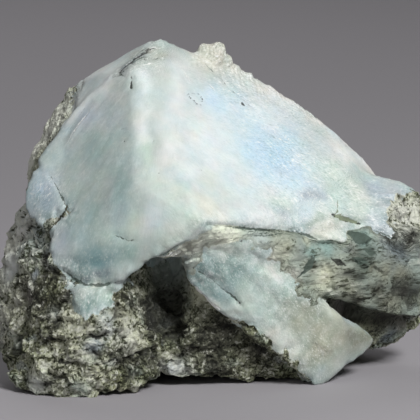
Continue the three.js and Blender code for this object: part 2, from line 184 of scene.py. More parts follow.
# Round grains of the pale crust that caps the rim.
beads = [
    {"at": (-0.8, 3, 41.4), "radius": 1},
    {"at": (1, 3.1, 41.5), "radius": 1.05},
    {"at": (0.1, 4.2, 40.6), "radius": 1.2},
    {"at": (2.1, 3.8, 40), "radius": 0.8},
    {"at": (3.2, 4.6, 38.8), "radius": 0.8},
    {"at": (4.9, 5.2, 37.8), "radius": 0.7},
    {"at": (0.4, 2.9, 40.3), "radius": 1.3},
]

# Paints, as seen in daylight, 0 to 255.
palette = {
    "milk": (228, 234, 232),
    "ice": (204, 226, 238),
    "sky": (184, 214, 234),
    "cream": (228, 230, 216),
    "chalk": (246, 248, 244),
    "crust": (234, 236, 224),
    "straw": (244, 250, 228),
    "knob": (212, 206, 188),
    "mint": (210, 226, 216),
    "seaGreen": (198, 214, 202),
    "sage": (168, 188, 174),
    "mist": (162, 182, 179),
    "teal": (142, 171, 164),
    "deepTeal": (104, 140, 142),
    "lilac": (178, 190, 198),
    "haze": (184, 196, 191),
    "drab": (166, 173, 164),
    "slate": (118, 130, 134),
    "brown": (126, 116, 92),
    "olive": (96, 98, 68),
    "moss": (124, 122, 72),
    "slitGreen": (124, 134, 104),
    "shade": (72, 86, 77),
    "stoneGrey": (148, 154, 123),
    "ash": (170, 172, 160),
    "plum": (138, 134, 128),
    "umber": (74, 74, 62),
    # Black, also used as painted shade in the rock's gaps, hollows and crevices.
    "blackAndShade": (34, 35, 30),
    "bone": (208, 210, 184),
    "sand": (178, 181, 161),
    "clay": (140, 143, 126),
    "strataGrey": (152, 166, 156),
}

# Soft patches of colour on the pectolite: the paint, the place, how far it reaches. Each later one lies
# over those before it.
tonePatches = [
    ("haze", (-16, -9, 30), 9), ("haze", (-14, -15, 22), 7), ("milk", (2, -8, 32), 9),
    ("milk", (10, -8, 26), 9), ("milk", (8, 1, 34), 6), ("ice", (7.6, -4.3, 29.8), 6),
    ("sky", (8, -4.5, 29.5), 2.6), ("ice", (1, -2.5, 36), 2.6), ("ice", (11.4, -5.6, 26.1), 4),
    ("mint", (16.7, -1.5, 25.4), 4.5), ("mint", (19.2, -2.3, 22.6), 3), ("mint", (9, -11, 22.5), 2),
    ("haze", (-8.4, -12.6, 31), 3), ("cream", (20.3, -1.6, 23), 1.6), ("mint", (14, -7.6, 21.6), 2),
    ("cream", (14.6, -8.2, 19.6), 1.8), ("seaGreen", (-6, -18, 23), 4),
    ("mint", (-3.1, -18.9, 22.4), 2.2), ("seaGreen", (-2, -18.6, 22.9), 1.5),
    ("milk", (-7.4, -17, 22.6), 2.2), ("mist", (-14.5, -8.9, 30.5), 2.6), ("mist", (-13, -11, 27.6), 2.6),
    ("lilac", (-15.5, -5.5, 34.5), 3), ("haze", (-16.3, -11.1, 25.8), 3),
    ("mist", (-14.5, -14.6, 22.5), 3.4), ("seaGreen", (-10.5, -16.6, 21), 2.4),
    ("haze", (-19.4, -6.4, 30), 1.8), ("cream", (0, -17, 24.4), 2), ("chalk", (17.4, 4, 28.6), 3.4),
    ("mint", (19.5, 1, 25), 2), ("milk", (-3, -13.5, 28), 2.4), ("teal", (-11.2, -17.4, 18), 1.8),
    ("deepTeal", (-14.8, -16.2, 17.6), 2.3), ("lilac", (-18.6, -13.6, 19.4), 1.8),
    ("ice", (-20.9, -7.2, 24.8), 2.4), ("lilac", (-20.6, -9, 23.4), 2), ("milk", (-13, 0, 38.5), 3),
    ("milk", (-15.6, 1.4, 36.6), 3), ("milk", (-3.8, -1.4, 40.4), 2), ("milk", (-12.8, -2.8, 38.6), 2),
    ("ash", (-7, -1.8, 42), 1), ("ash", (-9.4, -2.2, 41.4), 1.2), ("teal", (4, -14.4, 16), 2.6),
    ("sage", (11.5, -11.2, 11), 2.4), ("mist", (-1.5, -15.5, 18.2), 2), ("seaGreen", (7, -12.5, 12), 4.4),
    ("mint", (9.5, -11.4, 7.5), 4), ("cream", (4.2, -14.6, 19.4), 1.2), ("cream", (14.5, -9.8, 9.4), 2),
    ("mist", (0.4, -14.4, 14.8), 1.3), ("mint", (3.8, -13.5, 11.8), 2.6), ("sand", (14.6, -9.4, 6), 2.2),
    ("clay", (18.9, -6.4, 5.4), 2), ("brown", (16.6, -8.3, 5), 0.5), ("drab", (12, -10.4, 3), 2),
    ("cream", (-1.6, -14, 13.6), 0.7), ("cream", (0.2, -13.8, 11.9), 0.8),
    ("seaGreen", (-15.4, -17.8, 12.6), 2), ("teal", (-15.8, -17.8, 12.4), 1),
    ("cream", (-15.4, -17.5, 14.2), 0.4), ("haze", (-11.4, -17.8, 15.6), 1.4),
    ("slate", (-14, -17, 15.8), 0.8), ("sage", (-13, -17.8, 13.4), 0.9), ("sand", (11, -11, 8.6), 3),
    ("sand", (13.4, -10.4, 5), 2.6), ("seaGreen", (2, -15.6, 19.2), 2.4),
    # The shade patch at (-5.6, -15.5, 18) is painted shade on the underside of the crown.
    ("shade", (-5.6, -15.5, 18), 2.4), ("knob", (0.4, 3, 41), 2.6), ("teal", (3.4, -14.4, 17), 1.8),
    ("mint", (4.4, -13.9, 14), 2), ("lilac", (22.6, 0.3, 23.2), 2.6), ("lilac", (22.8, -2.8, 19.8), 2.4),
    # The slate patch at (-15.2, -16.6, 15.4) is painted shade along the lower edge of the lobe.
    ("slate", (23, -3.6, 18.6), 1.3), ("slate", (-15.2, -16.6, 15.4), 0.7),
]

# Long patches of colour on the pectolite, laid over those: the paint, from, to, and the reach.
toneBands = [
    ("haze", (-10.8, -10.4, 32.6), (-9.7, -14.4, 27), 0.8), ("milk", (-14, -3.4, 38), (-17.6, -4, 34), 1),
    ("mist", (-11.2, -13.6, 28), (-11, -16, 24), 1.6),
    ("milk", (-8.6, -4.6, 39.4), (-8.4, -11.6, 32.4), 0.9),
    ("seaGreen", (-8.2, -12.2, 31.6), (-7, -15, 27), 0.7), ("milk", (-4, -4, 38.6), (-5.6, -13, 30), 1.1),
    ("cream", (-5.2, -15.4, 27), (-1, -16.6, 25), 1), ("ash", (-11.6, -3.2, 40), (-7, -1.6, 42.3), 0.5),
    ("slate", (-11.4, -3.4, 40), (-8.8, -2.3, 41.6), 0.75),
    ("shade", (-10.8, -3.2, 40.4), (-9, -2.6, 41.4), 0.4),
    ("straw", (-2.4, -17.4, 20.6), (1.6, -16, 20.4), 1),
    ("milk", (2, -15.6, 23.2), (9, -11.2, 21.8), 1.2),
    ("haze", (-2.4, -18.6, 21.2), (-0.5, -18.4, 22.4), 0.8),
    ("cream", (0.6, -16.4, 20), (4, -15, 19), 0.9), ("mint", (-6.6, -14.6, 28), (-7, -16, 25.4), 1),
    ("lilac", (8.6, -11, 23), (10.6, -9.6, 22), 0.8), ("lilac", (12, -7, 24), (14.6, -5.4, 24.6), 0.8),
    ("mint", (3.4, -14.9, 19.6), (10.2, -12.2, 13.6), 1.3),
    ("chalk", (4, -14.9, 19.4), (9.2, -12.7, 14.6), 0.5),
    ("sage", (10, -10.8, 21.2), (14.4, -8, 21.4), 0.5),
    ("ash", (0, -17.9, 22.4), (3.6, -15.6, 21.4), 0.4),
    ("sand", (9.6, -11.8, 11.6), (13.6, -10.4, 10), 0.9),
    ("sand", (13, -10.6, 9.2), (17, -8.4, 6.8), 1.6), ("clay", (18, -7.4, 6.6), (20.6, -5, 5.6), 1.2),
    ("cream", (8.6, -12, 7.4), (10.8, -11.4, 5.2), 1.3), ("chalk", (7, 5.4, 36.6), (17, 7.4, 30), 1.5),
    ("chalk", (17, 7.4, 30), (21.6, 6.6, 25.4), 1.3), ("cream", (12.6, -9.8, 19.7), (16.6, -7.2, 19), 1),
    ("teal", (-1.6, -15.4, 17.4), (1, -15, 16.6), 1.1), ("teal", (-2.2, -14.8, 16), (1.8, -14, 12.4), 1),
    ("chalk", (-2.7, -14.4, 15.4), (0.8, -13.6, 11.4), 0.35),
    ("slate", (-2.4, -14.8, 16.8), (-1, -14.6, 14.8), 0.5),
    ("mint", (15, -4.6, 24.6), (16, -6.4, 21.6), 0.8),
]

# Patches of colour on the rock, laid the same way: the paint, the place, how far it reaches, and how
# calm the grain is there, from 0 to 1.
rockPatches = [
    # The chalk patches at (-24.2, -4, 21) and (-24, -5.2, 20) are painted light on the far left side, which
    # turns away from the key light.
    ("crust", (-20, 3, 31), 5, 0.8), ("crust", (-23, 2, 27), 3, 0.8), ("chalk", (-24.2, -4, 21), 3.4, 0),
    ("haze", (-22.6, -9, 19.4), 3, 0), ("chalk", (-24, -5.2, 20), 2, 0),
    ("umber", (-23.6, -6.8, 20.6), 0.8, 0), ("umber", (-24.4, -5.4, 18.4), 0.8, 0),
    ("umber", (-19.8, -12.2, 20.6), 1, 0), ("umber", (-19.2, -11.8, 22), 1.3, 0),
    ("crust", (-26.4, -4.6, 16), 3, 0.3), ("ash", (-25.5, -6, 8), 4.5, 0.3),
    ("plum", (-22.5, -10.5, 12), 2.6, 0.3), ("milk", (-25.2, -6.1, 15), 1.9, 0.8),
    ("haze", (-24.4, -7, 17.4), 1, 0.4), ("lilac", (-21.8, -11.3, 15), 0.9, 0.8),
    ("umber", (-19.9, -13.8, 15), 1.3, 0), ("umber", (-22, -12.5, 12.6), 1.5, 0),
    ("umber", (-20.6, -14.8, 12), 1.6, 0.2), ("olive", (-20.4, -15, 12.2), 1.8, 0.3),
    ("umber", (-20.2, -15.4, 10.2), 1.7, 0.2), ("plum", (-18.8, -16.2, 10.8), 0.8, 0.5),
    ("umber", (-21.4, -14, 11), 1.6, 0.1), ("crust", (-17.3, -17.2, 11.2), 0.9, 0.2),
    ("olive", (-13.2, -18, 11.8), 0.9, 0.1), ("ash", (-25.6, -7.5, 9.6), 2.2, 0.3),
    ("sage", (-17.2, -17, 12), 0.9, 0.5), ("slate", (-19.3, -16, 11.2), 0.9, 0.7),
    ("bone", (-25, -8.4, 10), 1.6, 0.2), ("bone", (-18, -16.6, 7.6), 2.6, 0),
    ("umber", (-19.2, -16.4, 9.4), 1.2, 0.1), ("umber", (-17.8, -16.2, 13.2), 1, 0.1),
    ("olive", (-11.4, -17, 13), 1.2, 0.1), ("crust", (-9.3, -16, 6.5), 1.1, 0.1),
    ("umber", (-9.2, -15, 4.2), 1.2, 0), ("bone", (-5.4, -11.8, 4.6), 0.8, 0.1),
    ("crust", (-9.6, -13.4, 11.4), 1.1, 0.2), ("umber", (-21.4, -14.1, 11.7), 1.2, 0),
    ("umber", (-19.3, -15.9, 12), 0.9, 0.2), ("bone", (-17.6, -17, 11.4), 1, 0.2),
    ("clay", (-13.5, -17.8, 9.6), 2, 0.1), ("umber", (-9.6, -15.8, 13.4), 1.8, 0),
    ("umber", (-7, -12.6, 10.6), 2, 0.1), ("bone", (-15.4, -18, 10), 0.9, 0.5),
    ("haze", (-12.8, -17.8, 10.8), 1.1, 0.5), ("milk", (-13.4, -18, 9.6), 1.1, 0.4),
    ("bone", (-17.2, -17.2, 10.2), 1, 0.3), ("bone", (-14, -16.6, 3.8), 1.8, 0.2),
    ("haze", (-21.2, -14.8, 3.6), 0.9, 0.4), ("bone", (-10.8, -17, 11), 1.1, 0.3),
    ("cream", (-10, -16.7, 8.6), 1.6, 0.5), ("lilac", (-14.5, -18, 7.2), 1.1, 0.7),
    ("sand", (-19, -16, 3.5), 3, 0), ("moss", (-20, -16, 4.1), 0.9, 0), ("moss", (-12, -15, 2.3), 1.2, 0),
    ("milk", (-21.9, -15, 1.9), 1.3, 0.7), ("seaGreen", (-16, -16.8, 1.8), 1.1, 0.6),
    ("bone", (-8.6, -15, 7), 1.6, 0.2), ("umber", (-7, -12.6, 4), 1.6, 0),
    ("umber", (-6.8, -12.8, 8.4), 1.6, 0), ("umber", (-11.2, -16.6, 6.2), 1.5, 0),
    ("bone", (-21, -15.8, 4.4), 1.2, 0.1), ("bone", (-15.2, -17, 3.8), 1.4, 0.1),
    # The chalk patch at (-4.8, -12.6, 17.4) is painted light on the shaded roof of the cavity under the
    # nose.
    ("clay", (-5.5, -7, 14), 3.4, 0.6), ("chalk", (-4.8, -12.6, 17.4), 3, 0.95),
    # The cream patch at (-4, -14, 18.4) is painted glints on the shaded underside of the nose.
    ("cream", (-4, -14, 18.4), 1.4, 0.2), ("ash", (-4.4, -17.6, 19), 1, 0.5),
    ("seaGreen", (-0.6, -17.4, 20.6), 2.4, 0.7), ("chalk", (-3.1, -17.8, 20), 1.5, 0.4),
    # The haze patch at (-4.4, -7, 15.4) is painted light that lifts the shade deep in the cavity.
    ("seaGreen", (1.4, -16.6, 20.2), 1.8, 0.8), ("haze", (-4.4, -7, 15.4), 3, 1),
    ("crust", (-2.4, -17, 19.4), 1.6, 0.5), ("haze", (-2.6, -15.5, 17.6), 1.4, 0.6),
    ("bone", (-1.3, -11.5, 12.6), 2, 0.6), ("clay", (-2, -11, 10.4), 1.4, 0.6),
    ("umber", (-1, -10.6, 8), 2, 0.4), ("umber", (2, -11, 8), 3, 0.4),
    ("umber", (6.5, -9.2, 5), 2.6, 0.3), ("umber", (0.4, -10.6, 5.4), 2.4, 0.4),
    # The milk patch at (-4.4, -10.8, 2.4) is a pale patch of the rock, made lighter still as painted light
    # because it faces down, away from the key light.
    ("umber", (-2.4, -10.4, 5.6), 1.8, 0.4), ("milk", (-4.4, -10.8, 2.4), 1.6, 0.6),
    ("umber", (0.6, -10.4, 2.4), 2.6, 0.3), ("bone", (3, -12.8, 9.2), 1, 0),
    ("crust", (25.8, -1.6, 21), 3.4, 0), ("umber", (26.6, -2, 18.6), 1, 0.1),
    ("sage", (3, -16, 21), 2.6, 0.85), ("bone", (2.4, -16, 20.2), 1.8, 0.7),
    ("teal", (9.8, -12, 18.6), 1.8, 0.8), ("slate", (11.6, -11, 18), 1.6, 0.8),
    ("cream", (7, -13.6, 17.4), 1.4, 0.6), ("cream", (10, -12.4, 14.8), 1.1, 0.5),
    ("sand", (12.6, -10.8, 16.6), 1.4, 0.6), ("bone", (14.8, -9.6, 14.4), 2, 0.6),
    ("sand", (9, -12.2, 18.4), 2.4, 0.7), ("haze", (6, -14.2, 20.4), 1.6, 0.8),
    ("bone", (12.2, -10.6, 19), 0.6, 0.8), ("teal", (15, -9.2, 18.6), 1.2, 0.8),
    ("umber", (18.4, -7, 17), 1, 0.4), ("teal", (12.7, -10.4, 17.8), 1.2, 0.8),
    ("ash", (18.2, -7.2, 17.8), 0.7, 0.5), ("teal", (19.2, -6.2, 18.8), 1.5, 0.9),
    ("shade", (19.1, -6.2, 18.9), 0.9, 0.95), ("shade", (20.4, -6, 17), 0.8, 0.9),
    ("brown", (20.4, -6.2, 15.2), 0.6, 0.5), ("slate", (24.2, -3.8, 16.4), 2.8, 0.5),
    ("umber", (25.8, -2.6, 18.2), 1, 0.3), ("shade", (19.4, -6.9, 15.4), 1.6, 0.8),
    ("clay", (22.4, -5.4, 14.2), 1.8, 0.9), ("clay", (17.6, -8.4, 12.8), 2.4, 0.5),
    # The umber patches on this line and the next two are painted shade under the ledges of the right wing,
    # over rock that is dark brown in places.
    ("umber", (25.6, -3, 11), 2, 0.6), ("umber", (21.6, -5.6, 11.8), 1.3, 0.6),
    ("umber", (19, -7.4, 10.8), 1.6, 0.5), ("umber", (22.6, -5, 10), 1.6, 0.5),
    ("umber", (16.4, -8.6, 11.6), 0.9, 0.5), ("clay", (23.4, -4.2, 9.8), 1.6, 0.6),
    ("bone", (19.6, -5.8, 5.4), 2.4, 0.3), ("clay", (24.6, -3.4, 13.4), 1.4, 0.8),
    # The plum and umber patches on this line and the next are painted shade in the hollow under the right
    # wing.
    ("plum", (17, -4.6, 9.4), 2.4, 1), ("umber", (22.6, -2, 7), 2.4, 1),
    ("plum", (24.8, 0.6, 6.6), 1.6, 1), ("umber", (19.2, -3.4, 7), 1.6, 1),
    ("slate", (22.8, 0.6, 4.4), 1.6, 0.8), ("umber", (12.8, -10.9, 16.6), 0.9, 0.5),
    ("umber", (23.4, -3.9, 18.9), 1.1, 0.2), ("umber", (-17.4, -16.2, 15), 1, 0.1),
    # The black patch at (-7.3, -11.9, 9.4) is painted shade on the cavity's left wall.
    ("blackAndShade", (-7.3, -11.9, 9.4), 1.3, 0.6), ("clay", (-11.4, -17, 7.8), 1.3, 0.1),
    ("umber", (-11.6, -16.6, 5.8), 1.1, 0), ("clay", (-17.6, -17.2, 6), 1.3, 0.1),
    ("straw", (1.6, -16.6, 20.8), 2.6, 0.6), ("straw", (-2.6, -17.9, 20.2), 2.2, 0.3),
]

# Flakes of the rock with a colour of their own: the paint, and for which chances, from and to.
oddFlakes = [
    ("bone", 0, 0.2), ("lilac", 0.2, 0.26), ("blackAndShade", 0.3, 0.36), ("olive", 0.38, 0.48),
    ("seaGreen", 0.52, 0.58),
]

# Where the pectolite is frosted with short pale strokes: the place, and how far it reaches.
frostPatches = [
    ((-21, -8, 24.5), 2.6), ((-9.4, -3, 40.8), 2.4), ((9, -3, 29), 5), ((17.5, -1.5, 25), 6),
    ((-5.5, -1, 42), 3.4), ((9, -10, 23), 4), ((14, -6, 22), 3), ((4, 1, 37.5), 4), ((12, 5, 33), 4),
]

# Where its fibres are torn, as they are beside the rock, in the same way.
tornPatches = [
    ((0, -16.4, 20.4), 2.6), ((4, -14, 17), 4), ((-1, -15, 16), 3.4), ((9, -12, 11.5), 4),
    ((13, -10.4, 5), 3), ((17, -6, 20.4), 2.2), ((-15.4, -17.8, 12.6), 2.4), ((22.4, -2, 21), 2.4),
]

# Bands of another kind of stone laid over the blocks: the kind, from, to, and how far from that line.
veils = [
    ("crust", (1.6, 3.6, 40), (9.5, 6, 36.2), 1.5), ("crust", (9.5, 6, 36.2), (17, 7.8, 30.1), 1.1),
    ("crust", (17, 7.8, 30.1), (21, 7.8, 26.2), 0.7), ("rock", (1, -12.4, 8.8), (4.4, -11.4, 7), 1.3),
    ("rock", (5, -12.6, 7.6), (7.4, -12.4, 6.6), 1.1), ("rock", (5, -12.6, 7.4), (10.2, -11, 3), 0.9),
    ("pectolite", (12.6, -9.8, 19.7), (16.6, -7.2, 19), 0.8),
    ("rock", (6.4, -10.6, 5.4), (11.8, -8.4, 0.8), 1.6),
    ("rock", (-20.6, -11.4, 21.2), (-18.5, -11.8, 22.8), 0.8),
    ("rock", (-6, -17, 17.6), (-3, -17.4, 19.3), 1),
    ("strata", (-3, -17.4, 19.3), (0.4, -16.8, 20.2), 1.2),
    ("pectolite", (0.4, -15.8, 18.8), (4, -14.8, 18.6), 1.7),
    ("strata", (-1.6, -16.8, 21.4), (2, -16.2, 21), 0.9),
    ("strata", (-2.2, -18, 20.5), (0.2, -17.6, 21.5), 0.6),
    ("pectolite", (3.4, -15, 19), (9.6, -12.5, 13.8), 1.8),
    ("rock", (-9, -13, 17.6), (-2, -13.4, 18.6), 2.2),
    ("pectolite", (-12.4, -17.5, 15), (-9.6, -17.6, 16.4), 0.7),
    ("strata", (-3.2, -15.4, 17), (-1.4, -15.9, 18.8), 0.9),
    ("strata", (11.8, -11.3, 13), (13.2, -10.7, 12), 0.7),
]

# Lines along which two kinds of stone meet in a clean edge: from, to, how far from the line.
cleanEdges = [
    ((-7.5, -18, 18.2), (-1.4, -19.3, 22.8), 1.6), ((-1.4, -19.3, 22.8), (9.3, -12, 20.7), 1.6),
    ((9.3, -12, 20.7), (16.2, -7, 18.8), 1.6), ((16.2, -7, 18.8), (21, -3.4, 20.6), 1.6),
    ((-18.5, -15, 16), (-11, -17.2, 15.2), 1.3), ((-11, -17.2, 15.2), (-7.5, -18, 18.2), 1.3),
    ((-20, -12, 20.4), (-22.8, -8.4, 22), 1.4),
]

# Fine marks in the surface: the paint, how deep (under 0 for a raised one), and a path of
# (x, y, z, half width).
marks = [
    ("blackAndShade", 0.4, [
        (-11.7, -3.4, 39.6, 0.12), (-10.7, -3.4, 40.4, 0.3), (-9.8, -2.8, 41, 0.4),
        (-8.8, -2.4, 41.7, 0.22), (-7.8, -2, 42.1, 0.06)]),
    ("blackAndShade", 0.3, [(-10.5, -3.1, 40.8, 0.16), (-9.7, -3.9, 40.7, 0.06)]),
    ("shade", 0.1, [(-12.6, -3.6, 38.8, 0.04), (-11.4, -4.4, 39.4, 0.1), (-10.8, -5, 39.3, 0.03)]),
    ("shade", 0.1, [(-11.4, -2.8, 40.1, 0.04), (-10, -2.2, 41.2, 0.1), (-8.8, -1.7, 42, 0.04)]),
    ("shade", 0.1, [(-9.6, -3.4, 40.8, 0.03), (-8.4, -3.2, 41.1, 0.1), (-7.4, -3.2, 41.1, 0.03)]),
    ("chalk", -0.08, [(-9.4, -4.2, 40.2, 0.03), (-8, -3.8, 40.6, 0.1), (-6.4, -3, 41, 0.03)]),
    ("chalk", -0.08, [(-8.4, -1.4, 42.3, 0.03), (-7, -1.4, 42.4, 0.1), (-5.8, -1.4, 42, 0.03)]),
    ("shade", 0.15, [(-12.4, -3.2, 39.2, 0.05), (-11.2, -4, 39.7, 0.12), (-10.3, -4.2, 40.2, 0.04)]),
    ("shade", 0.15, [(-10.2, -2.6, 41, 0.04), (-8.9, -3, 41.2, 0.12), (-7.6, -2.6, 41.7, 0.04)]),
    ("shade", 0.12, [(-9.8, -1.6, 41.7, 0.04), (-8.6, -1.4, 42.3, 0.1), (-7.4, -1.2, 42.7, 0.03)]),
    ("shade", 0.1, [(-8, -3, 41, 0.03), (-7, -2.8, 41.2, 0.1), (-5.8, -2, 41.4, 0.03)]),
    ("blackAndShade", 0.2, [(-9, -1.8, 42, 0.06), (-7.6, -1.7, 42.4, 0.14), (-6.9, -1.5, 42.5, 0.05)]),
    ("blackAndShade", 0.2, [(-10, -5.5, 39.3, 0.16), (-9.9, -5.6, 39.1, 0.05)]),
    ("blackAndShade", 0.2, [(-10, -5.8, 38.7, 0.12), (-10, -6.3, 38, 0.2)]),
    ("shade", 0.06, [(-15.3, -4.1, 36.1, 0.02), (-17.1, -4.6, 33.9, 0.05), (-18.9, -5.5, 31.2, 0.02)]),
    ("shade", 0.12, [(-20.4, -7.4, 27, 0.04), (-19.3, -8.9, 25.6, 0.08), (-18.5, -10.4, 24.3, 0.12)]),
    ("brown", 0.15, [(-18.5, -10.4, 24.3, 0.06), (-18, -11.8, 23, 0.14), (-18, -12, 22.6, 0.06)]),
    # A painted shadow line under the lower edge of the lower lobe, also cut in as a groove.
    ("shade", 0.5, [
        (-18.4, -14.6, 16.2, 0.1), (-17.3, -15.8, 15.5, 0.2), (-15.5, -16.8, 14.9, 0.14),
        (-13.1, -17.1, 14.9, 0.2), (-11.4, -17.3, 15.2, 0.1)]),
    ("blackAndShade", 0.1, [(4.2, -0.6, 35.1, 0.26), (4.25, -0.6, 35.05, 0.26)]),
    ("shade", 0.15, [(-11.9, -16.5, 21, 0.05), (-11, -17, 20.7, 0.12), (-10.5, -17.2, 20.6, 0.05)]),
    ("shade", 0.15, [(-10.7, -17.1, 20.4, 0.05), (-9.8, -17.4, 20.5, 0.12), (-9.4, -17.5, 20.6, 0.04)]),
    # A painted shadow line under the lip of the nose, also cut in as a groove.
    ("shade", 0.3, [
        (-3.2, -18.6, 20.3, 0.03), (-3.9, -18.5, 20, 0.07), (-5.2, -18.1, 19.1, 0.1),
        (-6.4, -17.9, 18.4, 0.06)]),
    ("shade", 0.1, [
        (17.9, -6.4, 19.4, 0.4), (18.7, -6.2, 18.8, 1), (19.8, -5.9, 18.6, 0.8), (20.9, -5.5, 18.8, 0.1)]),
    ("shade", 0.1, [(19.6, -6.4, 17.4, 0.1), (20.4, -6.2, 16.9, 0.4), (21.2, -5.8, 16.5, 0.1)]),
    ("shade", 0.1, [(18.2, -7.4, 16.4, 0.1), (19.1, -7, 15.9, 0.5), (20.2, -6.6, 15.7, 0.1)]),
    # Two slightly raised streaks under the nose, with painted glints on them.
    ("chalk", -0.2, [(-5.8, -17.8, 18.6, 0.05), (-4.9, -17.9, 18.9, 0.2), (-4, -17.9, 19.2, 0.05)]),
    ("chalk", -0.2, [(-4.6, -17.6, 18.3, 0.05), (-3.9, -17.6, 18.6, 0.16), (-3.2, -17.5, 18.9, 0.05)]),
    ("shade", 0.18, [
        (-1.4, -15, 16.2, 0.12), (0, -14.6, 15.4, 0.07), (1, -14.3, 14.4, 0.06), (2, -14, 13.6, 0.1),
        (3, -13.8, 12.8, 0.2), (3.8, -13.5, 11.7, 0.06)]),
    # A painted shadow line just under the lower edge of the crown, also cut in as a groove.
    ("shade", 0.45, [
        (-0.2, -18.4, 22.6, 0.03), (2.5, -16.8, 22, 0.07), (4.4, -15.4, 21.6, 0.2),
        (6.5, -14, 21.2, 0.17), (9.2, -12.1, 20.8, 0.09), (11.1, -10.9, 20.4, 0.1),
        (12.7, -9.7, 19.6, 0.26), (14, -8.9, 19, 0.05)]),
    ("shade", 0.2, [(4.6, -15, 20.6, 0.05), (7, -13.7, 20.4, 0.12), (9.2, -12.3, 20.5, 0.08)]),
    ("shade", 0.2, [(13, -9.6, 18.7, 0.04), (15.3, -8.1, 18.4, 0.12), (17, -7.2, 18, 0.05)]),
    ("shade", 0.2, [(20.8, -4.1, 19.5, 0.05), (22.1, -4, 19, 0.15), (23.4, -3.9, 18.3, 0.08)]),
    ("shade", 0.15, [
        (10.9, -11.8, 14.6, 0.06), (11.6, -11.3, 15.3, 0.3), (12.4, -10.8, 16.3, 0.55),
        (13.2, -10.3, 17.1, 0.1)]),
    ("blackAndShade", 0.25, [(15.4, -9.4, 16.7, 0.1), (16.4, -8.8, 16.1, 0.45), (17.6, -8.4, 15.6, 0.1)]),
    # Crevices in the lower left rock: cut in, and filled with black as painted shade.
    ("blackAndShade", 0.5, [(-21.4, -14.4, 7.2, 0.1), (-20, -16.2, 7.9, 0.25), (-18.4, -17.2, 7.7, 0.12)]),
    ("blackAndShade", 0.5, [
        (-16.3, -17.5, 7.8, 0.1), (-15, -18.1, 8.5, 0.25), (-14, -18.3, 8.2, 0.25),
        (-12.9, -18.3, 8.6, 0.1)]),
    ("blackAndShade", 0.4, [(-19.9, -16.5, 4.7, 0.1), (-18.6, -16.9, 5.3, 0.24), (-17, -16.9, 4.9, 0.1)]),
    ("blackAndShade", 0.4, [(-20.1, -15.6, 9.8, 0.1), (-18.6, -16, 10.1, 0.16), (-17.2, -16.4, 9.9, 0.1)]),
    ("slitGreen", 0.3, [
        (15.8, -6.7, 21.7, 0.18), (16.5, -6.3, 21.4, 0.32), (17.2, -5.9, 21.1, 0.33),
        (18.1, -5.2, 20.8, 0.26), (18.9, -4.6, 20.4, 0.18), (19.5, -4, 20.1, 0.1)]),
    ("blackAndShade", 0.1, [(3.2, -13.6, 12.6, 0.03), (3.6, -13.5, 12, 0.14), (3.9, -13.4, 11.5, 0.05)]),
    ("slitGreen", 0.1, [
        (16.4, -4.6, 23.6, 0.03), (16.3, -5.4, 22.8, 0.1), (16.2, -6, 22.1, 0.13),
        (15.8, -6.6, 21.7, 0.1)]),
    ("blackAndShade", 0.3, [(15.6, -6.7, 21.8, 0.2), (15.9, -6.6, 21.7, 0.14)]),
    ("blackAndShade", 0.3, [(19, -4.3, 20.25, 0.14), (19.4, -4, 20.15, 0.14)]),
    ("blackAndShade", 0.2, [(16.5, -6.3, 21, 0.03), (17.4, -5.6, 20.8, 0.1), (18.3, -5, 20.5, 0.04)]),
    ("shade", 0.1, [(-0.5, 1, 40.1, 0.06), (0.4, 1, 39.2, 0.12), (0.8, 1, 38.8, 0.03)]),
    ("shade", 0.1, [(1.2, 1, 38.5, 0.05), (1.7, 0.7, 37.9, 0.12), (2.1, 0.4, 37.4, 0.04)]),
    ("shade", 0.1, [(2.7, 0.3, 37, 0.03), (3.2, 0.2, 36.6, 0.1), (3.7, 0.1, 36.1, 0.03)]),
    ("shade", 0.1, [(4.4, 0, 35.6, 0.03), (5.1, -0.1, 34.9, 0.08), (6, -0.1, 34.3, 0.02)]),
    ("chalk", -0.1, [(-3.4, -2.2, 39.6, 0.05), (-2.9, -2.7, 39, 0.14), (-2.6, -2.9, 38.5, 0.05)]),
    ("chalk", -0.1, [(-0.1, -1.3, 37.8, 0.04), (0.4, -1.5, 37.2, 0.12), (0.8, -1.7, 36.8, 0.04)]),
    # A painted highlight: a pale streak along the step of the left flank, slightly raised.
    ("chalk", -0.1, [(-14.4, -4.8, 36, 0.04), (-16.6, -5.2, 33.2, 0.12), (-18.4, -6, 30.6, 0.03)]),
    ("chalk", -0.15, [
        (-2.6, -14.4, 15.6, 0.1), (-1.6, -14.3, 14, 0.2), (0, -13.9, 12.2, 0.2), (1.6, -13.5, 11, 0.1)]),
]

# Single specks: (x, y, z, half width).
specks = [
    (-2.9, -4.9, 37, 0.1), (-2.4, -4.9, 36.6, 0.12), (-1.9, -5, 36.2, 0.12), (-1.4, -3.7, 36.9, 0.09),
    (-0.9, -4, 36.3, 0.12), (-1.7, -5.1, 35.9, 0.09), (-2.2, -4.2, 37.1, 0.08), (-1.1, -4.8, 35.7, 0.1),
    (-11.1, -9.5, 33.3, 0.12), (-10.8, -10.8, 31.9, 0.1), (-7.2, -11.8, 32.2, 0.08),
    (-0.9, -12.9, 28.7, 0.09), (-6.4, -14.7, 28.5, 0.1), (3.6, -15.1, 20.2, 0.12),
]

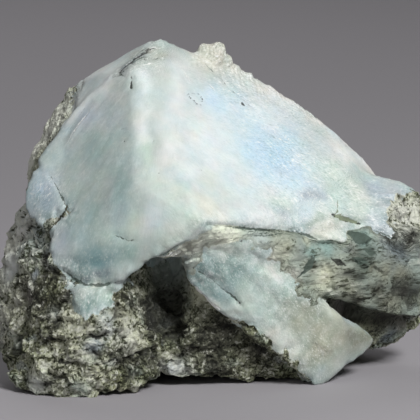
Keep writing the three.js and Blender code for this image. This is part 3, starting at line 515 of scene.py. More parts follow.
# Hollows in the rock: from, to, how wide and how deep the hollow round that line is, and how much painted
# shade darkens it.
hollows = [
    ((14.2, -8.2, 11.2), (18.4, -5, 9.3), 1.1, 1.3, 0.7),
    ((18.4, -5, 8.2), (26.6, 0.4, 6.3), 1.1, 0.9, 0.6),
    ((24.2, -3.6, 11.4), (28.4, -1.2, 10.6), 1.2, 0.6, 0.8),
    ((-11.6, -16.4, 4.9), (-7.6, -13, 4.2), 1, 0.6, 0.8),
    ((-12, -16.4, 5.4), (-8.6, -13.4, 5), 0.9, 0.9, 0.7),
    ((-20.6, -13, 16.3), (-19.2, -14.4, 15.6), 0.6, 0.5, 0.7),
    ((-23.4, -13, 4.2), (-22.4, -13.8, 3.6), 0.9, 0.6, 1),
    ((-7.3, -11.2, 11.6), (-7, -11.6, 8.8), 1.2, 0.4, 0.9),
    ((-5.4, -9, 13), (-4.4, -9.6, 8.4), 2.4, 0.1, 0.7),
    ((-5.8, -9.6, 11), (-4.6, -9.6, 7.8), 1.5, 0.3, 0.9),
    ((17.6, -8.4, 14.6), (19.4, -7.2, 13.6), 0.5, 0.4, 0.6),
]

# Places that the fibres of the pectolite spread from.
fibreFans = {"left": (5, -3, 58), "right": (-26, -11, 46), "spur": (-14, -12, 36)}


# Colour on its way from the eye's scale (0 to 255) to the light's own scale (0 to 1).
def paint(name):
    share = np.array(palette[name]) / 255
    return np.where(share < 0.04045, share / 12.92, ((share + 0.055) / 1.055) ** 2.4)


def socketPaint(name):
    return (*paint(name), 1)


# The planes (nx, ny, nz, d) of a convex solid: those through three corners with the rest behind.
def planesOf(corners):
    corners = np.array(corners, float)
    triples = np.array(list(itertools.combinations(range(len(corners)), 3)))
    first, second, third = (corners[triples[:, k]] for k in range(3))
    normals = np.cross(second - first, third - first)
    lengths = np.linalg.norm(normals, axis=1)
    real = lengths > 1e-6
    normals = normals[real] / lengths[real, None]
    planes = np.column_stack([normals, -(normals * first[real]).sum(1)])
    sides = planes[:, :3] @ corners.T + planes[:, 3:]
    front = sides.max(1) > 1e-6
    behind = sides.min(1) < -1e-6
    planes[front] *= -1
    planes = np.unique(planes[~(front & behind)].round(5), axis=0)
    planes[:, 3] -= stone["skin"]
    return planes


# For each ray from the heart, the point where it leaves the last block or bead: inside a convex
# block a ray lies between its last entry and its first exit of the block's planes.
def lastExits(directions):
    heart = np.array(stone["heart"], float)
    far = np.zeros(len(directions))
    for block in blocks:
        start = block["planes"][:, :3] @ heart + block["planes"][:, 3]
        slope = directions @ block["planes"][:, :3].T
        slope[np.abs(slope) < 1e-9] = 1e-9
        crossing = -start / slope
        leave = np.where(slope > 0, crossing, np.inf).min(1)
        enter = np.where(slope < 0, crossing, -np.inf).max(1)
        far = np.where(enter < leave, np.maximum(far, leave), far)
    for bead in beads:
        offset = np.array(bead["at"]) - heart
        along = directions @ offset
        inside = along**2 - offset @ offset + bead["radius"] ** 2
        leave = along + np.sqrt(np.maximum(inside, 0))
        far = np.where(inside > 0, np.maximum(far, leave), far)
    return heart + directions * far[:, None]


# A cube's surface as six grids of points with one number for each point, and the squares between:
# a point is its face's middle plus u times one side and v times the other, u and v from -1 to 1.
def cubeGrid(cells):
    x, y, z = np.eye(3, dtype=int)
    faces = [(y, z, x), (z, y, -x), (z, x, y), (x, z, -y), (x, y, z), (y, x, -z)]
    step = 2 * np.arange(cells + 1) - cells
    u, v = np.meshgrid(step, step, indexing="ij")
    spots = np.array([a * u[..., None] + b * v[..., None] + c * cells for a, b, c in faces])
    corners, numbers = np.unique(spots.reshape(-1, 3), axis=0, return_inverse=True)
    numbers = numbers.reshape(6, cells + 1, cells + 1)
    squares = np.stack(
        [numbers[:, :-1, :-1], numbers[:, 1:, :-1], numbers[:, 1:, 1:], numbers[:, :-1, 1:]], axis=-1)
    directions = np.tan(corners / cells * math.pi / 4)
    return numbers, squares.reshape(-1, 4), unit(directions)


def unit(vectors):
    return vectors / np.linalg.norm(vectors, axis=1, keepdims=True)


# Every pair of points that share a square's side or diagonal, in both orders.
def linksOf(squares):
    pairs = [squares[:, [a, b]] for a, b in itertools.permutations(range(4), 2)]
    return np.unique(np.concatenate(pairs), axis=0).T


# The mean of each point's neighbours.
def neighbourMean(values, links):
    here, there = links
    sums = [np.bincount(here, column[there], len(values)) for column in values.T]
    return np.array(sums).T / np.bincount(here, minlength=len(values))[:, None]


# A grid twice as fine, with a new value halfway between each two.
def finer(grid):
    cells = grid.shape[1] - 1
    result = np.zeros((6, 2 * cells + 1, 2 * cells + 1, 3))
    result[:, ::2, ::2] = grid
    result[:, 1::2, ::2] = (grid[:, 1:] + grid[:, :-1]) / 2
    result[:, :, 1::2] = (result[:, :, 2::2] + result[:, :, :-2:2]) / 2
    return result


# Points spread over the blocks' outside: each round turns every ray towards the middle of its
# neighbours' points, on grids that get finer.
def spreadPoints():
    heart = np.array(stone["heart"], float)
    coarseDirections = None
    for cells, rounds in stone["evenings"].items():
        numbers, squares, directions = cubeGrid(cells)
        if coarseDirections is not None:
            directions[numbers] = finer(coarseDirections[coarseNumbers])
        links = linksOf(squares)
        for _ in range(rounds):
            points = lastExits(unit(directions))
            directions = neighbourMean(points, links) - heart
        coarseNumbers, coarseDirections = numbers, unit(directions)
    print(f"stone: {len(directions)} points spread over the blocks")
    return lastExits(unit(directions)), squares


def addObject(name, data):
    thing = bpy.data.objects.new(name, data)
    bpy.context.scene.collection.objects.link(thing)
    return thing


# The same surface redrawn with even squares, so that steep walls have as many points as the rest,
# and worn a little along its edges.
def redraw(points, squares):
    mesh = bpy.data.meshes.new("blocks")
    mesh.from_pydata(points.tolist(), [], squares.tolist())
    rough = addObject("blocks", mesh)
    remesh = rough.modifiers.new("even squares", "REMESH")
    remesh.mode = "VOXEL"
    remesh.voxel_size = stone["fineness"]
    bpy.context.view_layer.update()
    even = rough.evaluated_get(bpy.context.evaluated_depsgraph_get()).data
    points = np.zeros((len(even.vertices), 3), np.float32)
    even.vertices.foreach_get("co", points.ravel())
    corners = np.zeros(len(even.loops), np.int32)
    even.loops.foreach_get("vertex_index", corners)
    bpy.data.objects.remove(rough)
    bpy.data.meshes.remove(mesh)
    points = points.astype(float)
    squares = corners.reshape(-1, 4)
    links = linksOf(squares)
    for _ in range(stone["edgeRounds"]):
        points = points + 0.5 * (neighbourMean(points, links) - points)
    print(f"stone: redrawn with {len(squares)} squares")
    return points, squares


def normalsOf(points, squares):
    a, b, c, d = (points[squares[:, k]] for k in range(4))
    flat = np.cross(c - a, d - b)
    normals = np.zeros_like(points)
    for k in range(4):
        for axis in range(3):
            normals[:, axis] += np.bincount(squares[:, k], flat[:, axis], len(points))
    return unit(normals)


# 1 in the middle, and fading to nothing as a bell curve.
def bell(distances):
    return np.exp(-(distances**2))


# How ragged the edge between two kinds is at each point, from 0 to 1.
def raggedOf(points):
    ragged = np.ones(len(points))
    for start, end, reach in cleanEdges:
        ragged *= 1 - bell(distanceToLine(points, start, end) / reach)
    return ragged


# Each point's shares of the kinds of stone: a block's weight falls off with its distance, to which
# a wandering is added. With them, how far the point lies on the rock's side of its edge.
def kindShares(points, ragged):
    sums = {kind: np.full(len(points), 1e-12) for kind in ("pectolite", "rock", "strata", "crust")}
    wander = {kind: ragged * (swell(points / 1.7, 181 + k) + 0.6 * swell(points / 0.7, 191 + k))
              for k, kind in enumerate(sums)}
    for block in blocks:
        kind = block["kind"]
        gap = (points @ block["planes"][:, :3].T + block["planes"][:, 3]).max(1) - block.get("lead", 0)
        sums[kind] += np.exp(-(gap + stone["kindWander"] * wander[kind]) / stone["kindBlend"])
    for bead in beads:
        gap = np.linalg.norm(points - np.array(bead["at"]), axis=1) - bead["radius"]
        sums["crust"] += 2 * np.exp(-gap / stone["kindBlend"])
    for kind, start, end, width in veils:
        gap = distanceToLine(points, start, end) - width + stone["kindWander"] * wander[kind]
        sums[kind] += np.exp(-gap / stone["kindBlend"])
    total = sum(sums.values())
    side = np.log((sums["rock"] + sums["strata"]) / (sums["pectolite"] + sums["crust"]))
    return {kind: share / total for kind, share in sums.items()}, side * stone["kindBlend"]


def fraction(values):
    return values - np.floor(values)


# The way from each level to the middle of its layer.
def fromMiddle(level, spacing):
    return (fraction(level / spacing) - 0.5) * spacing


# A number from 0 to 1 for each cell of a lattice: the far digits of a sine. Each salt, here and in
# the functions that use it, gives another pattern.
def chance(cells, salt):
    return fraction(np.sin(cells @ np.array([12.9898, 78.233, 37.719]) + salt * 4.581) * 43758.5453)


# Smooth noise from -1 to 1, about one wave to a unit: the eight corners' chances, eased between.
def swell(places, salt):
    cell = np.floor(places)
    ease = (places - cell) ** 2 * (3 - 2 * (places - cell))
    total = np.zeros(len(places))
    for corner in itertools.product((0, 1), repeat=3):
        share = np.prod(np.where(corner, ease, 1 - ease), axis=1)
        total += share * chance(cell + np.array(corner), salt)
    return 2 * total - 1


# The two nearest of the seeds scattered one to a cell: both distances, the nearest one's own
# lattice cell, and the way to it.
def scatter(places, salt):
    cell = np.floor(places)
    nearest = np.full(len(places), 9.0)
    second = np.full(len(places), 9.0)
    home = cell.copy()
    way = np.zeros_like(places)
    for step in itertools.product((-1, 0, 1), repeat=3):
        other = cell + np.array(step)
        seed = other + np.column_stack([chance(other, salt + k) for k in range(3)])
        toSeed = seed - places
        distance = np.linalg.norm(toSeed, axis=1)
        closer = distance < nearest
        second = np.where(closer, nearest, np.minimum(second, distance))
        nearest = np.where(closer, distance, nearest)
        home[closer] = other[closer]
        way[closer] = toSeed[closer]
    return nearest, second, home, way


# Broken flakes: every seed's own cell is a flat piece with a height and a tilt of its own,
# parted from the next by a gap. The last of the four is each point's own cell.
def flakes(points, size, stretch, salt):
    scale = size * np.array(stretch)
    near, second, home, way = scatter(points / scale, salt)
    tilt = np.column_stack([chance(home, salt + 5 + k) - 0.5 for k in range(3)])
    height = 2 * chance(home, salt + 9) - 1
    slope = (way * tilt).sum(1)
    gap = bell((second - near) * size / relief["flakeGap"])
    return height, slope, gap, home


def distanceToLine(points, start, end):
    start = np.array(start, float)
    run = np.array(end, float) - start
    along = np.clip((points - start) @ run / max(run @ run, 1e-9), 0, 1)
    return np.linalg.norm(points - start - along[:, None] * run, axis=1)


# A wandering shift of each point, so that cells and patches get uneven outlines.
def driftOf(points, size, salt):
    return np.column_stack([swell(points / size, salt + k) for k in range(3)])


# The marks of one tone: the way from each point along the surface to the nearest mark, the half
# width there, and how deep it is. Out of reach of every mark the width is nothing.
def nearestMarks(points, normals, tone):
    way = np.full((len(points), 3), 9.0)
    distance = np.full(len(points), 9.0)
    width = np.zeros(len(points))
    depth = np.zeros(len(points))
    lines = [(deep, path) for paintName, deep, path in marks if paintName == tone]
    if tone == "blackAndShade":
        lines += [(relief["speckDepth"], [speck, speck]) for speck in specks]
    for deep, path in lines:
        for start, end in zip(np.array(path[:-1], float), np.array(path[1:], float)):
            run = end[:3] - start[:3]
            offset = points - start[:3]
            along = np.clip(offset @ run / max(run @ run, 1e-9), 0, 1)
            offset -= along[:, None] * run
            inward = (offset * normals).sum(1)
            offset -= inward[:, None] * normals
            reach = np.linalg.norm(offset, axis=1) + np.maximum(np.abs(inward) - 2, 0)
            closer = reach < distance
            way[closer] = offset[closer]
            distance[closer] = reach[closer]
            width[closer] = (start[3] + along * (end[3] - start[3]))[closer]
            depth[closer] = deep
    near = np.clip((relief["markReach"] - distance) / relief["markSide"], 0, 1)
    return way, width * near, depth * bell(distance / relief["markSide"])


# The height of the pectolite's waves, ripples and fibres, with splinters where it is torn.
def silkyHeight(points, torn):
    height = swell(points / relief["waveLength"] * np.array([1, 1, 0.5]), 11) * relief["waveHeight"]
    height += swell(points / relief["rippleLength"], 13) * relief["rippleHeight"]
    fibre = fibresOf(points)
    splinter, slope, gap, _ = flakes(fibre, relief["splinterSize"], (1, 1, 1), 71)
    height += torn * relief["splinterHeight"] * (splinter + 1.5 * slope - 0.6 * gap)
    return height + relief["fibreHeight"] * (1 + 2 * torn) * swell(fibre * 2.2, 64)


# How far the finished surface stands out from the smooth blocks, how much painted shade darkens its gaps,
# seams, bed lines and hollows, and which large and small flake of the rock each point is on.
def reliefOf(points, shares, torn, calm):
    x, _, z = points.T
    drifted = points + relief["driftReach"] * driftOf(points, relief["driftLength"], 171)
    near, _, _, _ = scatter(points / relief["lumpSize"] * np.array([1, 1, 1.4]), 3)
    lump = (0.5 - near) * relief["lumpHeight"]
    level = z + relief["ledgeDip"] * x + 1.2 * swell(points / 6, 23)
    opening = np.maximum(0, 1.4 * swell(points / np.array([3, 3, 2]), 37))
    seam = opening * bell(fromMiddle(level, relief["ledgeSpacing"]) / relief["ledgeGap"])
    boulder, boulderSlope, boulderGap, boulderHome = flakes(
        drifted, relief["boulderSize"], relief["boulderStretch"], 81)
    shard, shardSlope, shardGap, shardHome = flakes(
        drifted, relief["shardSize"], relief["shardStretch"], 101)
    crystal, _, _, _ = flakes(drifted, relief["crystalSize"], (1, 1, 1), 141)
    grit = swell(points / relief["gritSize"], 121) * relief["gritHeight"]
    grit += (2 * chance(np.floor(points * 8), 125) - 1) * relief["jag"]
    grit += crystal * relief["crystalHeight"]
    deep = np.clip(0.5 + 0.8 * swell(points / 3.1, 131), 0, 1)
    deep *= np.clip(0.6 + 1.8 * swell(points / 1.1, 133), 0, 1.4)
    rough = relief["boulderHeight"] * boulder + relief["boulderTilt"] * relief["boulderSize"] * boulderSlope
    rough -= relief["boulderGap"] * boulderGap * deep
    rough += relief["shardHeight"] * shard + relief["shardTilt"] * relief["shardSize"] * shardSlope
    rough -= relief["shardGap"] * shardGap * deep
    rough = (rough + grit) * (1 - 0.8 * calm)
    rough += lump * (1 - 0.5 * calm) - relief["sunken"] - relief["ledgeDepth"] * seam

    bed = bell(fromMiddle(level, relief["bedSpacing"]) / relief["bedGap"])
    bed *= np.clip(1.6 * swell(points / np.array([2.5, 2.5, 1]), 39), 0, 1)
    layered = 0.5 * lump + 0.16 * swell(points / np.array([2.6, 2.6, 1.1]), 145) + 0.35 * grit
    layered += 0.6 * relief["boulderTilt"] * relief["boulderSize"] * boulderSlope - 0.2 * boulderGap * deep
    layered += 0.3 * relief["shardTilt"] * relief["shardSize"] * shardSlope
    layered -= relief["bedDepth"] * bed
    pebbly = 0.12 + 0.16 * swell(points / 1.1, 151) + 0.14 * swell(points / 0.6, 155)

    rock, strata, crust = (shares[kind] for kind in ("rock", "strata", "crust"))
    silky = silkyHeight(points, torn)
    height = (1 - rock - strata - crust) * silky + rock * rough + strata * layered + crust * pebbly
    # Painted shade, not a height: how much the gaps, seams and lines between the strata are darkened where
    # shade falls in them.
    depth = rock * (boulderGap * deep + 0.35 * shardGap * deep + 0.4 * seam) * (1 - 0.6 * calm)
    depth += strata * bed * 0.4
    for start, end, width, sunk, dark in hollows:
        inside = bell(distanceToLine(points, start, end) / width)
        height -= sunk * inside * (rock + strata)
        # Painted shade in the hollow, carried by the depth attribute.
        depth += dark * inside * 1.2
    return height, np.clip(depth, 0, 1), (boulderHome, shardHome)


# Coordinates that hardly change along the fibres, which fan out from a centre: the direction
# from the centre times a fixed length plus a little of the distance. The right fan takes over from
# the left across a slanting line, and the spur's own below the front of the crown.
def fibresOf(points):
    fans = {}
    for name, centre in fibreFans.items():
        offset = points - np.array(centre, float)
        distance = np.linalg.norm(offset, axis=1, keepdims=True)
        fans[name] = offset / distance * (relief["fanWidth"] + relief["fanStretch"] * distance)
    x, y, z = points.T
    onRight = np.clip((x + 7 + 0.2 * (34 - z)) / 3, 0, 1)[:, None]
    onSpur = np.clip((21.5 - z + 0.35 * (x - 4)) / 1.5, 0, 1) * np.clip((x + 3) / 1.5, 0, 1)
    crown = fans["left"] + (fans["right"] - fans["left"]) * onRight
    return crown + (fans["spur"] - crown) * onSpur[:, None]


# How much of a soft patch there is at each point.
def coverOf(points, at, reach):
    return bell(np.linalg.norm(points - np.array(at, float), axis=1) / reach)


# The colours with a paint laid over them, as much of it as the cover says.
def painted(colours, name, cover):
    return colours + (paint(name) - colours) * cover[:, None]


def layPatches(moved, colours, patches):
    for name, at, reach, *_ in patches:
        colours = painted(colours, name, coverOf(moved, at, reach))
    return colours


def pectoliteColours(points, shares):
    colours = np.tile(paint("haze"), (len(points), 1))
    colours = painted(colours, "crust", np.clip(1.6 * shares["crust"] - 0.3, 0, 1))
    drift = 1.1 * driftOf(points, 3.5, 31) + 0.6 * driftOf(points, 1.2, 35)
    colours = layPatches(points + drift, colours, tonePatches)
    moved = points + 0.5 * driftOf(points, 2.4, 51) + 0.3 * driftOf(points, 0.9, 55)
    for name, start, end, reach in toneBands:
        colours = painted(colours, name, bell(distanceToLine(moved, start, end) / reach))
    warmth = swell(points / 2.3, 57) + 0.5 * swell(points / 0.9, 58)
    green = swell(points / 1.6, 59) + 0.5 * swell(points / 0.7, 60)
    return colours * (1 + 0.045 * np.outer(warmth, (1, 0, -0.9)) + 0.03 * np.outer(green, (-1, 0.6, 0)))


# How calm the rock's grain is at each point, from 0 to 1.
def calmOf(points, shares):
    calm = 0.8 * shares["strata"]
    for _, at, reach, quiet in rockPatches:
        calm = calm + (quiet - calm) * coverOf(points, at, reach)
    return calm


# Rock colour: the base with its patches, and now and then a flake of another colour.
def rockColours(points, shares, homes, calm):
    colours = np.tile(paint("stoneGrey"), (len(points), 1))
    colours = painted(colours, "strataGrey", shares["strata"])
    for home, salt, strength in zip(homes, (7, 17), (0.3, 0.45)):
        pick = chance(home, salt)
        for name, low, high in oddFlakes:
            colours = painted(colours, name, ((pick >= low) & (pick < high)) * strength * (1 - calm))
    drift = 0.6 * driftOf(points, 2.2, 41) + 0.3 * driftOf(points, 0.9, 45)
    return layPatches(points + drift, colours, rockPatches)


# The tones of the marks, in the order they are laid.
markTones = ("slitGreen", "shade", "brown", "chalk", "blackAndShade")


def addPoint(mesh, name, kind, field, values):
    mesh.attributes.new(name, kind, "POINT").data.foreach_set(field, np.ascontiguousarray(values).ravel())


# Takes a place in the blocks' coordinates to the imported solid's, in metres.
def place(spot):
    low, high = (np.array(corner) for corner in cadBox)
    drawnLow = np.array(stone["drawnLow"])
    return low + (np.array(spot, float) - drawnLow) * (high - low) / (stone["drawnHigh"] - drawnLow)


def makeStone():
    for block in blocks:
        block["planes"] = planesOf(block["corners"])
    points, squares = redraw(*spreadPoints())
    normals = normalsOf(points, squares)
    ragged = raggedOf(points)
    shares, side = kindShares(points, ragged)
    calm = calmOf(points, shares)
    torn = np.clip(1 + side / relief["tornReach"], 0, 1)
    for at, reach in tornPatches:
        torn += coverOf(points, at, reach) * (1 - torn)
    height, depth, homes = reliefOf(points, shares, torn, calm)
    frost = stone["tornFrost"] * torn + stone["crustFrost"] * shares["crust"]
    for at, reach in frostPatches:
        frost += coverOf(points, at, reach) * (1 - frost)
    layers = points * np.array(relief["grainStretch"])
    grain = points + (layers - points) * shares["strata"][:, None]
    found = {tone: nearestMarks(points, normals, tone) for tone in markTones}
    for _, _, groove in found.values():
        height -= groove
    finished = points + normals * height[:, None]
    finished[:, 2] = np.maximum(finished[:, 2], stone["restLevel"])
    mesh = bpy.data.meshes.new("larimar")
    mesh.from_pydata(place(finished).tolist(), [], squares.tolist())
    ones = np.ones((len(points), 1))
    tones = {"tone": pectoliteColours(points, shares), "rockTone": rockColours(points, shares, homes, calm)}
    for name, colours in tones.items():
        addPoint(mesh, name, "FLOAT_COLOR", "color", np.hstack([colours, ones]))
    addPoint(mesh, "fibre", "FLOAT_VECTOR", "vector", fibresOf(points))
    addPoint(mesh, "grain", "FLOAT_VECTOR", "vector", grain)
    # The depth attribute is painted shade for the rock's gaps and hollows.
    for name, values in (("rock", np.clip(side, -3, 3)), ("depth", depth), ("calm", calm), ("frost", frost),
                         ("torn", torn), ("ragged", ragged), ("crust", shares["crust"])):
        addPoint(mesh, name, "FLOAT", "value", values)
    for tone, (way, width, _) in found.items():
        addPoint(mesh, tone + "Way", "FLOAT_VECTOR", "vector", way)
        addPoint(mesh, tone + "Width", "FLOAT", "value", width)
    mesh.polygons.foreach_set("use_smooth", side[squares].mean(1) < stone["smoothSide"])
    mesh.update()
    print(f"stone: {len(squares)} squares, relief {height.min():.2f} to {height.max():.2f} mm")
    return addObject("larimar", mesh)


# A socket of a material's nodes. Sums and products of these add the Math nodes that work them out.
class Signal:
    def __init__(self, nodes, socket):
        self.nodes = nodes
        self.socket = socket

    def maths(self, operation, *values):
        return self.nodes.add("ShaderNodeMath", {"operation": operation}, values)

    def __add__(self, other):
        return self.maths("ADD", self, other)

    def __sub__(self, other):
        return self.maths("SUBTRACT", self, other)

    def __mul__(self, other):
        return self.maths("MULTIPLY", self, other)

    def __rsub__(self, other):
        return self.maths("SUBTRACT", other, self)

    __radd__ = __add__
    __rmul__ = __mul__

    # 0 below low and 1 above high, with an eased rise between.
    def rise(self, low, high):
        settings = {"interpolation_type": "SMOOTHSTEP"}
        return self.nodes.add("ShaderNodeMapRange", settings, (self, low, high, 0, 1))


# A material's node tree, and the few ways in which this script adds to it.
class Nodes:
    def __init__(self, material):
        material.use_nodes = True
        self.tree = material.node_tree
        self.tree.nodes.clear()

    # One node: its type, its settings, its inputs as values or signals, and which output is wanted.
    def add(self, kind, settings, inputs, output=0):
        node = self.tree.nodes.new(kind)
        for name, value in settings.items():
            setattr(node, name, value)
        items = inputs.items() if isinstance(inputs, dict) else enumerate(inputs)
        for name, value in items:
            if isinstance(value, Signal):
                self.tree.links.new(value.socket, node.inputs[name])
            else:
                node.inputs[name].default_value = value
        return Signal(self, node.outputs[output])

    def attribute(self, name, output):
        return self.add("ShaderNodeAttribute", {"attribute_name": name}, {}, output)

    def vector(self, operation, *values, output=0):
        return self.add("ShaderNodeVectorMath", {"operation": operation}, values, output)

    def scaled(self, vector, factor):
        return self.add("ShaderNodeVectorMath", {"operation": "SCALE"}, {0: vector, "Scale": factor})

    def noise(self, vector, scale, detail=3, rough=0.55, warp=0.0):
        return self.add("ShaderNodeTexNoise", {}, {
            "Vector": vector, "Scale": scale, "Detail": detail, "Roughness": rough, "Distortion": warp})

    def cells(self, vector, scale, output):
        return self.add("ShaderNodeTexVoronoi", {}, {"Vector": vector, "Scale": scale}, output)

    # Flat facets, one to a cell: the way from the cell's middle along a direction of its own.
    def facets(self, vector, scale):
        middle = self.cells(vector, scale, "Position")
        lean = self.vector("SUBTRACT", self.cells(vector, scale, "Color"), (0.5, 0.5, 0.5))
        return self.vector("DOT_PRODUCT", self.vector("SUBTRACT", vector, middle), lean, output="Value")

    def mix(self, factor, first, second, blend="MIX"):
        return self.add(
            "ShaderNodeMix", {"data_type": "RGBA", "blend_type": blend}, {0: factor, 6: first, 7: second}, 2)


finish = {
    "fibreBump": 0.5, "fibreDepth": 0.0002, "rockBump": 0.9, "rockDepth": 0.001,  # depths in metres
    "pectoliteRoughness": 0.42, "rockRoughness": 0.8, "pectoliteIor": 1.6, "rockIor": 1.5,
    "edgeBlend": 0.06,  # how gradually pectolite turns into rock, in millimetres
    "markCover": 0.88,
    "glow": 0.05, "glowDepth": 0.0012,  # how much light enters the pectolite, and how deep, in metres
    # how many times each pattern repeats in about a millimetre
    "strandScale": 1.3, "threadScale": 5.5, "strokeScale": 2.4, "scratchScale": 8, "cloudScale": 0.22,
    "mottleScale": 0.75, "speckScale": 2.6, "glintSpotScale": 5, "crustScale": 2.2, "edgeScale": 1.6,
    "markScale": 2.2, "gritScale": 6,
    "coarseGrain": 1.9, "fineGrain": 4.2, "blotchScale": 0.8, "coarseFacets": 1.3, "fineFacets": 3.1,
    "darkGrain": (0.13, 0.14, 0.085, 1),  # what the darkest grains leave of the rock's colour
}


# The pectolite's colour, the height of its surface and its roughness: clouds, frost and pale fibres
# that fan out over the soft patches of colour, with painted glints in tiny bright spots.
def pectoliteLook(nodes, here, stored):
    fibre, frost, torn, crust = (stored[name] for name in ("fibre", "frost", "torn", "crust"))
    strands = nodes.noise(fibre, finish["strandScale"], 6, 0.62, 0.25)
    threads = nodes.noise(fibre, finish["threadScale"], 4, 0.6, 0.2)
    shorter = nodes.vector("ADD", fibre, nodes.scaled(here, 0.22))
    strokes = nodes.noise(shorter, finish["strokeScale"], 4, 0.7, 0.4)
    longer = nodes.vector("ADD", fibre, nodes.scaled(here, 0.14))
    scratches = nodes.noise(longer, finish["scratchScale"], 3, 0.6)
    clouds = nodes.noise(here, finish["cloudScale"], 3, 0.5, 0.4)
    specks = nodes.noise(here, finish["speckScale"], 3, 0.6)
    glintSpots = nodes.noise(here, finish["glintSpotScale"], 2, 0.5)
    mottle = nodes.noise(here, finish["mottleScale"], 5, 0.65, 0.3)
    grains = nodes.cells(here, finish["crustScale"], "Distance")
    body = stored["tone"]
    for cover, name, blend in (
            (mottle.rise(0.6, 0.38) * (torn * 0.3 + 0.08), "mist", "MULTIPLY"),
            (mottle.rise(0.5, 0.7) * (torn * 0.25 + 0.12), "milk", "MIX"),
            (strands.rise(0.35, 0.75) * 0.25, "milk", "SOFT_LIGHT"),
            (clouds.rise(0.4, 0.75) * 0.25, "ice", "MULTIPLY"),
            (threads.rise(0.52, 0.72) * 0.1, "milk", "MIX"),
            (specks.rise(0.55, 0.75) * 0.25, "cream", "MIX"),
            (strokes.rise(0.45, 0.33) * (frost * 0.5 + 0.05), "haze", "MULTIPLY"),
            (strokes.rise(0.55, 0.68) * (frost * 0.9 + 0.06), "chalk", "MIX"),
            (scratches.rise(0.5, 0.32) * (frost * 0.35 + 0.12), "mist", "MULTIPLY"),
            (scratches.rise(0.56, 0.7) * (frost * 0.8 + torn * 0.2 + 0.18), "chalk", "MIX"),
            # Painted glints: tiny chalk spots, most where the fibres are torn.
            (glintSpots.rise(0.66, 0.74) * (torn * 0.45 + 0.12), "chalk", "MIX"),
            (grains.rise(0.3, 0.75) * crust * 0.3, "sand", "MIX")):
        body = nodes.mix(cover, body, socketPaint(name), blend)
    height = strands * 0.35 + threads * 0.2 + strokes * frost + mottle * 0.5 - grains * crust * 2.5
    height = height + scratches * (frost * 0.8 + 0.25) + glintSpots * torn * 0.5
    return body, height, finish["pectoliteRoughness"] + 0.2 * (threads - 0.5)


# The rock's colour and the height of its surface: pale and dark grains, with painted shade blackening the
# gaps and hollows.
def rockLook(nodes, here, stored):
    grain, tone, calm = (stored[name] for name in ("grain", "rockTone", "calm"))
    coarse, fine = (
        nodes.add("ShaderNodeSeparateColor", {}, (nodes.cells(grain, finish[name], "Color"),))
        for name in ("coarseGrain", "fineGrain"))
    blotch = nodes.noise(grain, finish["blotchScale"], 5, 0.65, 0.2)
    brightness = nodes.add("ShaderNodeRGBToBW", {}, (tone,))
    light = (coarse * 0.4 + fine * 0.5 - 0.45 + (blotch - 0.5) * 1.7) * (1 - calm * 0.75)
    light = light + 0.47 + (brightness - 0.35) * 0.4
    dark = nodes.mix(1, tone, finish["darkGrain"], "MULTIPLY")
    pale = nodes.mix(0.7 - calm * 0.4, tone, socketPaint("cream"))
    colour = nodes.mix(light.rise(0.2, 0.46), dark, tone)
    colour = nodes.mix(light.rise(0.56, 0.78), colour, pale)
    # Painted shade: the colour goes towards black as far as the depth attribute says.
    colour = nodes.mix(stored["depth"] * 0.85, colour, socketPaint("blackAndShade"))
    height = nodes.facets(grain, finish["coarseFacets"]) * 0.75
    height = height + nodes.facets(grain, finish["fineFacets"]) * 1.1
    height = (height + nodes.noise(here, finish["gritScale"], 3, 0.6) * 0.08) * (1 - calm * 0.92)
    return colour, height


# One material for the whole stone: both looks, parted along a ragged edge, with the marks over them.
def larimarMaterial():
    material = bpy.data.materials.new("larimar")
    nodes = Nodes(material)
    here = nodes.scaled(nodes.add("ShaderNodeTexCoord", {}, {}, "Object"), 1000)
    kinds = {"Vector": ("fibre", "grain"), "Color": ("tone", "rockTone"),
             "Fac": ("rock", "depth", "calm", "frost", "torn", "ragged", "crust")}
    stored = {name: nodes.attribute(name, kind) for kind, names in kinds.items() for name in names}
    body, fibreHeight, gloss = pectoliteLook(nodes, here, stored)
    rockColour, grainHeight = rockLook(nodes, here, stored)

    wandering = (nodes.noise(here, finish["edgeScale"], 4, 0.7) - 0.5) * (stored["ragged"] * 1.3 + 0.3)
    isRock = (stored["rock"] + wandering).rise(-finish["edgeBlend"], finish["edgeBlend"])

    drifting = nodes.add(
        "ShaderNodeTexNoise", {}, {"Vector": here, "Scale": finish["markScale"], "Detail": 3}, "Color")
    wander = nodes.scaled(nodes.vector("SUBTRACT", drifting, (0.5, 0.5, 0.5)), 0.5)
    crack = 0
    for markTone in markTones:
        nearby = nodes.vector("ADD", nodes.attribute(markTone + "Way", "Vector"), wander)
        width = nodes.attribute(markTone + "Width", "Fac")
        cover = (width - nodes.vector("LENGTH", nearby, output="Value")).rise(-0.03, 0.07)
        cover = cover * finish["markCover"]
        colour = socketPaint(markTone)
        body = nodes.mix(cover, body, colour)
        rockColour = nodes.mix(cover, rockColour, colour)
        crack = cover + crack

    smoothNormal = nodes.add("ShaderNodeBump", {}, {
        "Strength": finish["fibreBump"], "Distance": finish["fibreDepth"], "Height": fibreHeight - crack})
    roughNormal = nodes.add("ShaderNodeBump", {}, {
        "Strength": finish["rockBump"], "Distance": finish["rockDepth"], "Height": grainHeight})
    pectolite = nodes.add("ShaderNodeBsdfPrincipled", {}, {
        "Base Color": body, "Roughness": gloss, "Normal": smoothNormal, "IOR": finish["pectoliteIor"],
        "Subsurface Weight": finish["glow"], "Subsurface Scale": finish["glowDepth"],
        "Subsurface Radius": (1, 0.9, 0.8)})
    rock = nodes.add("ShaderNodeBsdfPrincipled", {}, {
        "Base Color": rockColour, "Roughness": finish["rockRoughness"], "Normal": roughNormal,
        "IOR": finish["rockIor"]})
    surface = nodes.add("ShaderNodeMixShader", {}, (isRock, pectolite, rock))
    output = nodes.tree.nodes.new("ShaderNodeOutputMaterial")
    nodes.tree.links.new(surface.socket, output.inputs["Surface"])
    return material


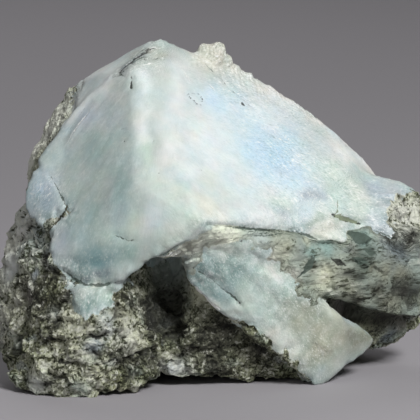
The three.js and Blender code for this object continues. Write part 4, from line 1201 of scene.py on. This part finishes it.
# A flat floor, a soft key light above it on the right, and weak ones on the left and behind. Metres,
# apart from the point that the camera and the lights look at.
studio = {
    "floorColour": (0.36, 0.345, 0.365, 1), "floorRoughness": 0.9, "floorReach": 2,
    "keyPlace": (0.17, -0.27, 0.31), "keySize": 0.12, "keyPower": 1.8,
    "fillPlace": (-0.3, -0.4, 0.25), "fillSize": 0.5, "fillPower": 0.4,
    "backPlace": (-0.1, 0.4, 0.4), "backSize": 0.4, "backPower": 0.7,
    "skyColour": (0.5, 0.49, 0.52, 1), "skyStrength": 0.08,
    "target": (0, -14, 23.73), "distance": 0.45, "elevation": 10, "frameWidth": 0.0525, "sensor": 36,
    "nearest": 0.01,
}


def makeFloor():
    reach = studio["floorReach"]
    mesh = bpy.data.meshes.new("floor")
    corners = [(-reach, -reach, 0), (reach, -reach, 0), (reach, reach, 0), (-reach, reach, 0)]
    mesh.from_pydata(corners, [], [(0, 1, 2, 3)])
    floor = addObject("floor", mesh)
    material = bpy.data.materials.new("floor")
    material.use_nodes = True
    plain = material.node_tree.nodes["Principled BSDF"]
    plain.inputs["Base Color"].default_value = studio["floorColour"]
    plain.inputs["Roughness"].default_value = studio["floorRoughness"]
    mesh.materials.append(material)
    print("floor made")


def makeLights(target):
    for name in ("key", "fill", "back"):
        light = bpy.data.lights.new(name, "AREA")
        light.size = studio[name + "Size"]
        light.energy = studio[name + "Power"]
        lamp = addObject(name, light)
        lamp.location = studio[name + "Place"]
        lamp.rotation_euler = (target - lamp.location).to_track_quat("-Z", "Y").to_euler()
    world = bpy.data.worlds.new("studio")
    world.use_nodes = True
    sky = world.node_tree.nodes["Background"]
    sky.inputs["Color"].default_value = studio["skyColour"]
    sky.inputs["Strength"].default_value = studio["skyStrength"]
    bpy.context.scene.world = world
    print("lights made")


def makeCamera(target):
    elevation = math.radians(studio["elevation"])
    camera = bpy.data.cameras.new("camera")
    camera.sensor_width = studio["sensor"]
    camera.lens = studio["sensor"] * studio["distance"] / studio["frameWidth"]
    camera.clip_start = studio["nearest"]
    holder = addObject("camera", camera)
    away = Vector((0, -math.cos(elevation), math.sin(elevation)))
    holder.location = target + away * studio["distance"]
    holder.rotation_euler = (math.pi / 2 - elevation, 0, 0)
    bpy.context.scene.camera = holder
    print("camera made")


larimar = makeStone()
larimar.data.materials.append(larimarMaterial())
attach(larimar, "root")
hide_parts("larimar_stone")
target = Vector(place(studio["target"]))
makeFloor()
makeLights(target)
makeCamera(target)
bpy.context.scene.view_settings.view_transform = "Standard"
